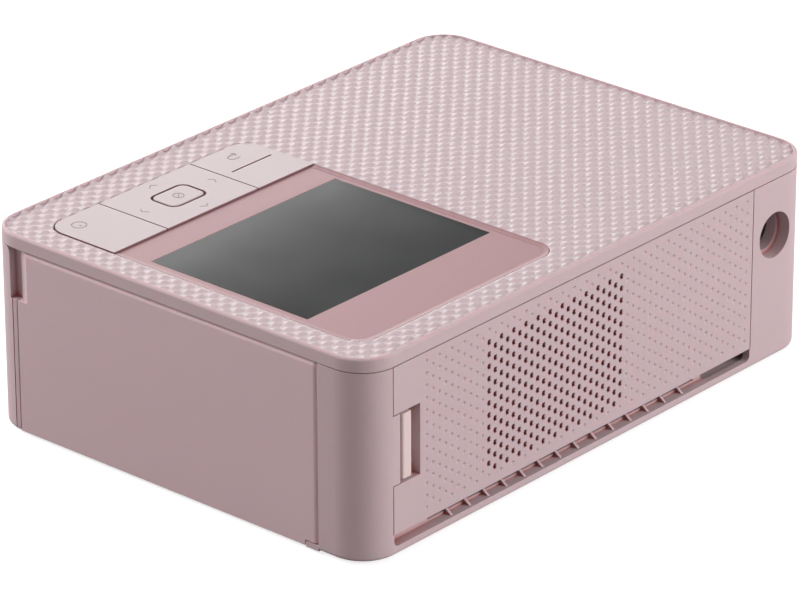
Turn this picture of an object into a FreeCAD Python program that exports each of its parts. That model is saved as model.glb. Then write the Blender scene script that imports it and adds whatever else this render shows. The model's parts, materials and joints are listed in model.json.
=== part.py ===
import FreeCAD, Part
import math
import os
import re
import Sketcher
from FreeCAD import Placement, Rotation, Vector

# Compact photo printer, in millimetres. +Z is up, +X is the side of the ink door, +Y is the rear with
# the vents, -Y is the user's side. The origin is at the middle of the base, on the table.

# Driving sizes. Each can be changed by itself.
SIZES = {
    # casing
    "width": 182.2, "depth": 133.0, "height": 57.6, "corner_radius": 10.5,
    "wall": 2.2, "floor_thickness": 2.2, "band_height": 4.1, "seam_gap": 0.3, "panel_gap": 0.35,
    "base_round": 1.2, "rim_round": 0.8, "rim_width": 1.0, "relief_depth": 1.0, "plate_thickness": 1.9,
    "overrun": 2.0, "clearance": 0.3,
    # feet and case screws
    "foot_height": 0.8, "foot_radius": 6.0, "foot_inset_x": 17.0, "foot_inset_y": 17.0, "foot_sink": 0.4,
    "post_inset_x": 6.0, "post_inset_y": 20.0, "post_radius": 3.6, "post_height": 6.0, "pillar_radius": 3.0,
    "screw_radius": 1.25, "screw_length": 8.0, "screw_fit": 0.35, "head_radius": 2.6, "head_height": 1.4,
    "head_depth": 2.4,
    # ink door on the right side
    "door_thickness": 2.6, "door_front": 11.2, "door_rear": 16.6, "door_lift": 0.3, "door_corner": 1.5,
    "pin_radius": 0.65, "pin_fit": 0.06, "pin_reach": 2.5, "hinge_block": 2.0, "edge_rest": 0.03,
    "ear_height": 1.6, "ear_length": 4.0,
    "notch_height": 14.5, "notch_case": 2.6, "notch_door": 3.6, "notch_depth": 2.5, "notch_lip": 0.7,
    "notch_flare": 1.8, "jamb_block": 2.4, "strip_width": 1.7, "groove_width": 0.35, "groove_depth": 0.35,
    "door_rib_thickness": 1.0, "door_rib_depth": 2.0, "door_rib_margin": 9.0, "door_rib_inset": 13.0,
    "catch_depth": 3.6, "catch_width": 8.0, "catch_thickness": 1.2, "catch_nose": 1.1, "catch_setback": 1.6,
    # rear cover, its vents and its latch
    "cover_left": 25.9, "cover_sill": 6.0, "cover_thickness": 1.9,
    "vent_pitch_x": 2.42, "vent_pitch_z": 3.43, "vent_width": 1.1, "vent_height": 1.5,
    "vent_inset": 36.8, "vent_top": 5.95, "vent_field": 54.0, "vent_bottom": 4.0,
    "hook_reach": 2.6, "hook_height": 8.0, "hook_thickness": 1.5, "hook_leg": 1.6, "hook_inset": 3.5,
    "pocket_width": 10.0, "pocket_height": 20.0, "pocket_lift": 13.5, "pocket_depth": 6.0,
    "housing_wall": 1.2, "keeper_width": 2.7, "bar_width": 3.2, "bar_gap": 1.15, "bar_end_gap": 0.9,
    "bar_round": 0.7, "latch_base": 1.5, "latch_foot": 0.8, "nose_reach": 0.85, "nose_height": 8.0,
    "nose_thickness": 2.0,
    # rear paper chute
    "chute_depth": 6.0, "chute_top": 10.0, "recess_depth": 3.0, "recess_height": 3.5, "recess_round": 1.6,
    "slot_floor": 1.0, "slot_height": 6.5, "slot_inset": 1.2,
    "rib_pitch": 7.27, "rib_thickness": 0.8, "rib_height": 1.0, "rib_setback": 0.8,
    # power inlet
    "inlet_inset": 16.1, "inlet_drop": 16.3, "inlet_radius": 6.6, "inlet_step": 3.8, "inlet_bore": 5.5,
    "inlet_wall": 1.2, "inlet_length": 9.0, "jack_setback": 7.0, "jack_length": 6.0, "jack_mouth": 2.9,
    "jack_pin": 1.0, "jack_mouth_depth": 4.5, "jack_flange": 1.2, "jack_flange_length": 1.5,
    # front paper slot and its cover
    "flap_lift": 1.0, "flap_height": 26.0, "flap_thickness": 2.4, "grip_width": 22.0, "grip_height": 3.0,
    "grip_depth": 1.1,
    # card slot and cable socket
    "card_level": 11.2, "card_slot": 2.6, "card_shell": 3.0, "card_margin": 0.3, "card_length": 24.0,
    "board_thickness": 1.6, "board_gap": 0.5, "socket_width": 9.0, "socket_height": 3.2,
    "socket_length": 7.3, "socket_wall": 0.4, "socket_round": 1.0,
    "board_post_radius": 2.2, "board_lift": 2.0,
    "main_board_front": 32.5, "main_board_rear": 24.5, "chip_height": 2.2, "chip_side": 12.0,
    # operation panel in the top
    "panel_right": 9.5, "panel_width": 77.8, "panel_front": 12.0, "panel_rear": 10.0, "panel_round": 6.5,
    "panel_drop": 1.0, "bezel_thickness": 1.6, "ledge_width": 1.6, "ledge_thickness": 1.4,
    "key_row": 25.6, "key_gap": 0.4, "left_key": 22.3, "right_key": 20.5, "key_drop": 0.2,
    "key_thickness": 1.5, "ok_width": 12.6, "ok_depth": 9.0, "ok_gap": 0.7,
    "ok_round": 2.2, "ok_rise": 0.1, "slit_width": 0.6, "slit_inset": 3.4, "slit_depth": 0.5,
    "stem_radius": 1.5, "stem_length": 1.5, "stem_spread": 6.4,
    "mat_thickness": 0.8, "mat_inset": 3.0, "mat_web": 2.2,
    "glass_side": 3.3, "glass_rear": 20.9, "glass_front": 10.2, "glass_thickness": 1.0,
    "glass_seat": 1.0, "glass_fit": 0.1, "display_thickness": 3.0, "display_margin": 0.4,
    "key_board_drop": 5.1, "key_board_thickness": 1.2, "key_board_margin": 2.4, "switch_height": 2.0,
    "switch_side": 4.0, "key_post_radius": 1.6,
    # frame of the printing unit
    "sheet_steel": 1.2, "motor_bay": 33.1, "gear_bay": 8.0, "door_bay": 23.3, "unit_rear": 20.5,
    "unit_length": 80.0, "unit_drop": 7.5, "foot_flange": 5.0, "window_front": 10.0, "window_rear": 2.0,
    "window_sill": 16.0, "window_head": 1.6, "sheet_round": 3.5, "stay_width": 6.0, "rear_stay_lift": 11.0,
    # rollers
    "grip_place": 42.5, "roller_spacing": 18.0, "gear_lift": 0.5, "platen_radius": 5.0, "platen_core": 3.0,
    "grip_radius": 3.0, "journal_radius": 2.0, "journal_fit": 0.06, "roller_end": 3.4, "pinch_radius": 2.6,
    "pinch_gap": 0.3, "pinch_journal": 1.2, "pinch_reach": 1.0, "bush_radius": 3.2, "bush_flange": 3.8,
    "bush_flange_length": 0.8, "guide_top": 9.0, "guide_floor": 0.9, "guide_front": 26.0, "trough_gap": 0.9,
    "guide_end": 0.4,
    # gears
    "gear_module": 0.6, "gear_width": 4.0, "gear_gap": 0.8, "bore_radius": 1.0, "gear_backlash": 0.08,
    # motors and spindles
    "feed_motor_radius": 12.0, "ribbon_motor_radius": 10.0, "motor_length": 17.0, "motor_pilot": 4.0,
    "motor_pilot_gap": 0.1, "motor_bore": 6.5, "spindle_setback": 18.0, "spindle_ahead": 20.0,
    "spindle_drop": 13.0, "hub_radius": 5.0, "hub_length": 8.0, "dog_height": 1.6, "dog_thickness": 1.4,
    "disc_radius": 6.0, "disc_thickness": 1.2, "plate_play": 0.3,
    # print head
    "head_setback": 1.9, "head_gap": 2.7, "head_board": 1.0, "head_board_width": 9.0, "sink_width": 7.0,
    "sink_base": 4.0, "fin_thickness": 0.8, "fin_pitch": 4.0, "fin_stem": 2.0, "head_end": 4.0,
    "arm_end": 1.5, "pivot_setback": 16.0, "pivot_drop": 2.5, "pivot_radius": 1.5, "arm_front": 5.0,
    "arm_tail": 3.0, "arm_gap": 0.7, "ear_radius": 2.9,
    # pick-up roller and its arm
    "pick_shaft_ahead": 33.0, "pick_shaft_height": 21.0, "pick_shaft_radius": 1.5, "pick_reach": 15.0,
    "pick_fall": 7.0, "pick_radius": 6.5, "pick_width": 22.0, "pick_arm": 2.0, "pick_journal": 1.2,
    "pick_ear": 3.0,
    # eject lever
    "lever_thickness": 2.0, "lever_pivot_y": 5.5, "lever_pivot_z": 9.0, "lever_radius": 3.2,
    "lever_length": 15.0, "lever_pin": 1.2, "thumb_length": 12.0, "thumb_width": 5.0,
    # fan behind the vents
    "fan_side": 30.0, "fan_depth": 7.0, "fan_bore": 13.6, "fan_tip": 12.9, "fan_hub": 5.5,
    "fan_spoke": 2.0, "fan_back": 1.2, "fan_blade": 0.9, "fan_blade_length": 4.2, "fan_axle": 1.0,
}

# Counts and angles in degrees.
COUNTS = {
    "guide_ribs": 14, "grip_teeth": 20, "platen_teeth": 18, "platen_idler_teeth": 20, "feed_idler_teeth": 32,
    "feed_pinion_teeth": 12, "take_up_teeth": 30, "ribbon_pinion_teeth": 12, "fan_blades": 7, "dogs": 3,
    "feed_idler_angle": 25, "feed_pinion_angle": 80, "ribbon_pinion_angle": 160,
}

# Half the thickness of a gear tooth at its root and its tip, and the depth of its root, as shares of the
# module.
TOOTH_SHARES = {"root": 0.95, "tip": 0.35, "depth": 1.25}

# How near a point must be to a level to count as on it.
NEARNESS = 0.0001

# Places worked out from the sizes.
PLACES = {
    "half_w": "width / 2", "half_d": "depth / 2", "base_z": "foot_height",
    "floor_z": "foot_height + floor_thickness", "seam_z": "height - band_height",
    "inner_w": "half_w - wall", "inner_d": "half_d - wall", "inner_round": "corner_radius - wall",
    "rim_z": "seam_z + seam_gap", "field_z": "height - relief_depth",
    "plate_z": "field_z - plate_thickness", "lid_z": "rim_z - panel_gap",
    "post_x": "half_w - post_inset_x", "post_y": "half_d - post_inset_y", "post_z": "floor_z + post_height",
    # ink door
    "door_y0": "-half_d + door_front", "door_y1": "half_d - door_rear", "door_z0": "base_z + door_lift",
    "door_x": "half_w - door_thickness", "door_axis_x": "half_w - door_thickness / 2",
    "door_axis_y": "door_y1 - door_thickness / 2", "ear_z": "base_z + ear_height",
    "notch_z": "seam_z - notch_height", "notch_y": "door_y0 - notch_case",
    # rear cover
    "cover_x0": "-half_w + cover_left", "cover_x1": "half_w - corner_radius",
    "cover_z0": "base_z + cover_sill", "cover_y": "half_d - cover_thickness",
    "pocket_x": "cover_x1 - pocket_width", "pocket_z0": "cover_z0 + pocket_lift",
    "pocket_z1": "pocket_z0 + pocket_height",
    "keeper_x": "cover_x1 + panel_gap - keeper_width", "bar_x1": "keeper_x - bar_gap",
    "bar_x0": "bar_x1 - bar_width", "hinge_x": "cover_x0 - panel_gap / 2",
    "hook_y1": "inner_d - clearance", "hook_y0": "hook_y1 - hook_thickness",
    # printing unit
    "gear_plate_x": "-inner_w + motor_bay", "left_x": "gear_plate_x + sheet_steel + gear_bay",
    "bay_x0": "left_x + sheet_steel", "bay_x1": "inner_w - door_bay", "right_x": "bay_x1 + sheet_steel",
    "unit_y1": "half_d - unit_rear", "unit_y0": "unit_y1 - unit_length", "unit_z": "seam_z - unit_drop",
    "grip_y": "half_d - grip_place", "platen_y": "grip_y - roller_spacing",
    "grip_z": "floor_z + gear_lift + gear_module * (grip_teeth / 2 + 1)",
    "platen_z": "floor_z + gear_lift + gear_module * (platen_teeth / 2 + 1)",
    "pinch_z": "grip_z + grip_radius + pinch_gap + pinch_radius",
    "platen_top": "platen_z + platen_radius", "guide_z": "floor_z + guide_top",
    # gear train between the left side plate and the gear plate
    "gear_x1": "left_x - gear_gap", "gear_x0": "gear_x1 - gear_width",
    "train_span": "sqrt(pow(grip_y - platen_y; 2) + pow(grip_z - platen_z; 2))",
    "idler_from_platen": "gear_module * (platen_teeth + platen_idler_teeth) / 2 + gear_backlash",
    "idler_from_grip": "gear_module * (grip_teeth + platen_idler_teeth) / 2 + gear_backlash",
    "idler_along": "(pow(train_span; 2) + pow(idler_from_platen; 2) - pow(idler_from_grip; 2))"
                   " / (2 * train_span)",
    "idler_up": "sqrt(pow(idler_from_platen; 2) - pow(idler_along; 2))",
    "train_cos": "(grip_y - platen_y) / train_span", "train_sin": "(grip_z - platen_z) / train_span",
    "idler_y": "platen_y + idler_along * train_cos - idler_up * train_sin",
    "idler_z": "platen_z + idler_along * train_sin + idler_up * train_cos",
    "feed_reach": "gear_module * (grip_teeth + feed_idler_teeth) / 2 + gear_backlash",
    "feed_y": "grip_y + feed_reach * cos(feed_idler_angle)",
    "feed_z": "grip_z + feed_reach * sin(feed_idler_angle)",
    "pinion_reach": "gear_module * (feed_idler_teeth + feed_pinion_teeth) / 2 + gear_backlash",
    "pinion_y": "feed_y + pinion_reach * cos(feed_pinion_angle)",
    "pinion_z": "feed_z + pinion_reach * sin(feed_pinion_angle)",
    "take_up_y": "platen_y - spindle_setback", "supply_y": "platen_y + spindle_ahead",
    "spindle_z": "unit_z - spindle_drop",
    "ribbon_reach": "gear_module * (take_up_teeth + ribbon_pinion_teeth) / 2 + gear_backlash",
    "ribbon_y": "take_up_y + ribbon_reach * cos(ribbon_pinion_angle)",
    "ribbon_z": "spindle_z + ribbon_reach * sin(ribbon_pinion_angle)",
    "motor_x": "gear_plate_x - motor_length",
    # the angle by which each gear is turned so that its teeth meet its neighbour's gaps
    "feed_turn": "feed_idler_angle + 90 - 180 / feed_idler_teeth"
                 " + (feed_idler_angle - 90) * grip_teeth / feed_idler_teeth",
    "pinion_turn": "feed_pinion_angle + 90 - 180 / feed_pinion_teeth"
                   " + (feed_pinion_angle - 90 - feed_turn) * feed_idler_teeth / feed_pinion_teeth",
    "idler_angle": "atan2(idler_z - grip_z; idler_y - grip_y) / 1deg",
    "idler_turn": "idler_angle + 90 - 180 / platen_idler_teeth"
                  " + (idler_angle - 90) * grip_teeth / platen_idler_teeth",
    "platen_angle": "atan2(platen_z - idler_z; platen_y - idler_y) / 1deg",
    "platen_turn": "platen_angle + 90 - 180 / platen_teeth"
                   " + (platen_angle - 90 - idler_turn) * platen_idler_teeth / platen_teeth",
    "ribbon_turn": "ribbon_pinion_angle + 90 - 180 / ribbon_pinion_teeth"
                   " + (ribbon_pinion_angle - 90) * take_up_teeth / ribbon_pinion_teeth",
    # print head
    "pivot_y": "grip_y + pivot_setback", "pivot_z": "unit_z - pivot_drop",
    "head_y": "platen_y - head_setback", "head_z": "platen_top + head_gap",
    "arm_z0": "unit_z - arm_gap", "arm_z1": "arm_z0 + sheet_steel",
    "sink_z": "head_z + head_board",
    # pick-up roller
    "pick_shaft_y": "platen_y - pick_shaft_ahead", "pick_shaft_z": "floor_z + pick_shaft_height",
    "pick_y": "pick_shaft_y - pick_reach", "pick_z": "pick_shaft_z - pick_fall",
    "bay_x": "(bay_x0 + bay_x1) / 2",
    # fan
    "vent_x1": "cover_x1 - vent_inset", "vent_z1": "lid_z - vent_top", "fan_x": "vent_x1 - vent_field / 2",
    "fan_z": "(vent_z1 + cover_z0 + vent_bottom) / 2", "fan_y": "unit_y1 + sheet_steel",
    # boards
    "card_x0": "-post_x + post_radius + board_gap", "card_x1": "gear_plate_x - board_gap",
    "card_z": "base_z + card_level", "card_board_z": "card_z - board_thickness",
    "board_z": "floor_z + board_lift",
    # flap
    "flap_z0": "base_z + flap_lift", "flap_z1": "flap_z0 + flap_height",
    "flap_y": "-half_d + flap_thickness", "flap_axis_y": "-half_d + flap_thickness / 2",
    "flap_axis_z": "flap_z0 + flap_thickness / 2",
    # inlet
    "inlet_x": "-half_w + inlet_inset", "inlet_z": "seam_z - inlet_drop",
    # operation panel
    "panel_x1": "half_w - panel_right", "panel_x0": "panel_x1 - panel_width",
    "panel_y0": "-half_d + panel_front", "panel_y1": "half_d - panel_rear",
    "key_y1": "panel_y0 + key_row", "bezel_z1": "height - panel_drop",
    "bezel_z0": "bezel_z1 - bezel_thickness", "frame_z": "bezel_z0 - ledge_thickness",
    "key_z1": "height - key_drop", "key_z0": "key_z1 - key_thickness",
    "split_a": "panel_x0 + left_key", "split_b": "panel_x1 - right_key",
    "nav_x": "(split_a + split_b) / 2", "nav_y": "(panel_y0 + key_y1) / 2",
    "glass_x0": "panel_x0 + glass_side", "glass_x1": "panel_x1 - glass_side",
    "glass_y0": "key_y1 + glass_front", "glass_y1": "panel_y1 - glass_rear",
    "key_board_z": "bezel_z0 - key_board_drop + key_board_thickness",
}

doc = FreeCAD.newDocument("photo_printer")
sheet = doc.addObject("Spreadsheet::Sheet", "dims")
for row, (name, size) in enumerate({**SIZES, **COUNTS}.items(), start=1):
    sheet.set(f"A{row}", name)
    sheet.set(f"B{row}", str(size))
    sheet.setAlias(f"B{row}", name)
doc.recompute()

PIECES = []
PLANES = {"XY": "XY_Plane", "XZ": "XZ_Plane", "YZ": "YZ_Plane"}
TURNS = {
    "x": Rotation(Vector(0, 1, 0), 90),
    "y": Rotation(Vector(1, 0, 0), -90),
    "z": Rotation(),
}


def bound(text, prefix="dims."):
    """An expression with its places written out in the sheet's cells."""
    def word(match):
        name = match.group(0)
        if name in PLACES:
            return "(" + bound(PLACES[name], prefix) + ")"
        if name in SIZES or name in COUNTS:
            return prefix + name
        return name
    return re.sub(r"[a-z_]\w*", word, text)


def value(text):
    """The number that an expression has now."""
    return float(sheet.evalExpression(bound(text, "")))


def piece(item, name):
    item.Label = name
    PIECES.append(item)
    return item


def box(name, x, y, z):
    made = doc.addObject("Part::Box", name)
    for side, edge, (low, high) in zip(("Length", "Width", "Height"), "xyz", (x, y, z)):
        made.setExpression(side, bound(f"({high}) - ({low})"))
        made.setExpression(f"Placement.Base.{edge}", bound(low))
    return made


def rod(name, axis, centre, radius, low, high):
    """A round bar along an axis; centre is its place on the other two axes, in their order."""
    made = doc.addObject("Part::Cylinder", name)
    made.Placement = Placement(Vector(), TURNS[axis])
    made.setExpression("Radius", bound(radius))
    made.setExpression("Height", bound(f"({high}) - ({low})"))
    places = dict(zip("xyz".replace(axis, ""), centre))
    places[axis] = low
    for edge, place in places.items():
        made.setExpression(f"Placement.Base.{edge}", bound(place))
    return made


def fuse(name, items):
    made = doc.addObject("Part::MultiFuse", name)
    made.Shapes = items
    return made


def cut(name, base, tools):
    made = doc.addObject("Part::Cut", name)
    made.Base = base
    made.Tool = tools[0] if len(tools) == 1 else fuse(name + "_tools", tools)
    return made


def group(name, items):
    made = doc.addObject("Part::Compound", name)
    made.Links = items
    return made


def new_body(name):
    return doc.addObject("PartDesign::Body", name)


def set_at(item, **places):
    for edge, place in places.items():
        item.setExpression(f"Placement.Base.{edge}", bound(place))
    return item


def sketch_on(body, plane, name, level="0"):
    """A sketch on one of the body's own planes, moved to a level along the world's axis."""
    sketch = body.newObject("Sketcher::SketchObject", name)
    support = next(f for f in body.Origin.OriginFeatures if f.Role == PLANES[plane])
    sketch.AttachmentSupport = [(support, "")]
    sketch.MapMode = "FlatFace"
    if level != "0":
        sign = "-" if plane == "XZ" else ""
        sketch.setExpression("AttachmentOffset.Base.z", bound(f"{sign}({level})"))
    return sketch


def fix(sketch, kind, geometry, point, text):
    """Holds one coordinate of a sketch point at an expression of the sheet."""
    if text == "0":
        axis = -2 if kind == "DistanceX" else -1
        sketch.addConstraint(Sketcher.Constraint("PointOnObject", geometry, point, axis))
        return
    place = value(text)
    made = sketch.addConstraint(Sketcher.Constraint(kind, -1, 1, geometry, point, place))
    sketch.setExpression(f"Constraints[{made}]", bound(text))


def draw_outline(sketch, corners):
    """A closed outline through corners (u, v) or (u, v, radius), each an expression of the sheet."""
    corners = [tuple(c) + (None,) * (3 - len(c)) for c in corners]
    count = len(corners)
    spots = [Vector(value(u), value(v), 0) for u, v, _ in corners]
    entries, exits = [], []
    for i, (_, _, radius) in enumerate(corners):
        back = (spots[i - 1] - spots[i]).normalize()
        ahead = (spots[(i + 1) % count] - spots[i]).normalize()
        reach = value(radius) if radius else 0
        entries.append(spots[i] + back * reach)
        exits.append(spots[i] + ahead * reach)
    lines = []
    for i in range(count):
        lines.append(sketch.addGeometry(Part.LineSegment(exits[i], entries[(i + 1) % count]), False))
    for i, (_, _, radius) in enumerate(corners):
        before, after = lines[i - 1], lines[i]
        if not radius:
            sketch.addConstraint(Sketcher.Constraint("Coincident", before, 2, after, 1))
            continue
        reach = value(radius)
        centre = entries[i] + exits[i] - spots[i]
        turn = (entries[i] - centre).cross(exits[i] - centre).z
        start, end = (entries[i], exits[i]) if turn > 0 else (exits[i], entries[i])
        a = math.atan2(start.y - centre.y, start.x - centre.x)
        b = math.atan2(end.y - centre.y, end.x - centre.x)
        b = b if b > a else b + 2 * math.pi
        circle = Part.Circle(centre, Vector(0, 0, 1), reach)
        arc = sketch.addGeometry(Part.ArcOfCircle(circle, a, b), False)
        first, last = (1, 2) if turn > 0 else (2, 1)
        sketch.addConstraint(Sketcher.Constraint("Tangent", before, 2, arc, first))
        sketch.addConstraint(Sketcher.Constraint("Tangent", arc, last, after, 1))
        made = sketch.addConstraint(Sketcher.Constraint("Radius", arc, reach))
        sketch.setExpression(f"Constraints[{made}]", bound(radius))
    for i, (u, v, _) in enumerate(corners):
        next_u, next_v, _ = corners[(i + 1) % count]
        if v == next_v:
            sketch.addConstraint(Sketcher.Constraint("Horizontal", lines[i]))
            fix(sketch, "DistanceY", lines[i], 1, v)
        elif u == next_u:
            sketch.addConstraint(Sketcher.Constraint("Vertical", lines[i]))
            fix(sketch, "DistanceX", lines[i], 1, u)
    for i, (u, v, radius) in enumerate(corners):
        last_u, last_v, _ = corners[i - 1]
        next_u, next_v, _ = corners[(i + 1) % count]
        if not radius and u not in (last_u, next_u):
            fix(sketch, "DistanceX", lines[i], 1, u)
        if not radius and v not in (last_v, next_v):
            fix(sketch, "DistanceY", lines[i], 1, v)
    return sketch


def draw_circle(sketch, u, v, radius):
    circle = Part.Circle(Vector(value(u), value(v), 0), Vector(0, 0, 1), value(radius))
    made = sketch.addGeometry(circle, False)
    rule = sketch.addConstraint(Sketcher.Constraint("Radius", made, value(radius)))
    sketch.setExpression(f"Constraints[{rule}]", bound(radius))
    fix(sketch, "DistanceX", made, 3, u)
    fix(sketch, "DistanceY", made, 3, v)
    return sketch


def rectangle(u, v, radius=None):
    """The four corners of a rectangle from its low and high edges."""
    spots = [(u[0], v[0]), (u[1], v[0]), (u[1], v[1]), (u[0], v[1])]
    return [spot + ((radius,) if radius else ()) for spot in spots]


def pad(body, plane, name, corners, low, high, holes=()):
    """Adds an outline from one level to another along the plane's axis; holes are round (u, v, radius)."""
    sketch = sketch_on(body, plane, name + "_sketch", high if plane == "XZ" else low)
    draw_outline(sketch, corners)
    for hole in holes:
        draw_circle(sketch, *hole)
    made = body.newObject("PartDesign::Pad", name)
    made.Profile = sketch
    made.setExpression("Length", bound(f"({high}) - ({low})"))
    return made


def pocket(body, plane, name, corners, low, high, holes=()):
    """Cuts an outline, or round holes, out of the body between two levels."""
    sketch = sketch_on(body, plane, name + "_sketch", low if plane == "XZ" else high)
    if corners:
        draw_outline(sketch, corners)
    for hole in holes:
        draw_circle(sketch, *hole)
    made = body.newObject("PartDesign::Pocket", name)
    made.Profile = sketch
    made.setExpression("Length", bound(f"({high}) - ({low})"))
    return made


def boss(body, plane, name, rounds, low, high):
    """Adds round posts (u, v, radius) from one level to another."""
    sketch = sketch_on(body, plane, name + "_sketch", high if plane == "XZ" else low)
    for spot in rounds:
        draw_circle(sketch, *spot)
    made = body.newObject("PartDesign::Pad", name)
    made.Profile = sketch
    made.setExpression("Length", bound(f"({high}) - ({low})"))
    return made


def dress(body, kind, name, size, chosen):
    """A fillet or a chamfer on the edges of the body's tip that a test chooses."""
    doc.recompute()
    base = body.Tip
    edges = [f"Edge{i}" for i, edge in enumerate(base.Shape.Edges, start=1) if chosen(edge)]
    if not edges:
        raise RuntimeError(f"no edge found for {name}")
    made = body.newObject("PartDesign::" + kind, name)
    made.Base = (base, edges)
    made.setExpression("Radius" if kind == "Fillet" else "Size", bound(size))
    return made


def turned(name, corners, y="0", z="0", x="0"):
    """A turned piece on the X axis through (y, z); its outline is drawn as (x, radius)."""
    body = new_body(name)
    sketch = sketch_on(body, "XY", name + "_profile")
    draw_outline(sketch, corners)
    made = body.newObject("PartDesign::Revolution", name + "_turned")
    made.Profile = sketch
    made.ReferenceAxis = (next(f for f in body.Origin.OriginFeatures if f.Role == "X_Axis"), [""])
    made.Angle = 360
    return set_at(body, x=x, y=y, z=z)


def around(body, feature, name, axis, count):
    """Repeats a feature round one of the body's own axes."""
    made = body.newObject("PartDesign::PolarPattern", name)
    made.Originals = [feature]
    made.Axis = (next(f for f in body.Origin.OriginFeatures if f.Role == axis), [""])
    made.Angle = 360
    made.setExpression("Occurrences", bound(count))
    body.Tip = made
    return made


def flat_at(level, edge_of="z"):
    """A test for edges that lie in one level."""
    place = value(level)
    return lambda e: all(abs(getattr(v.Point, edge_of) - place) < NEARNESS for v in e.Vertexes)


def four_ways(x, y):
    return [(sx + x, sy + y) for sx in ("-", "") for sy in ("-", "")]


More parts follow.
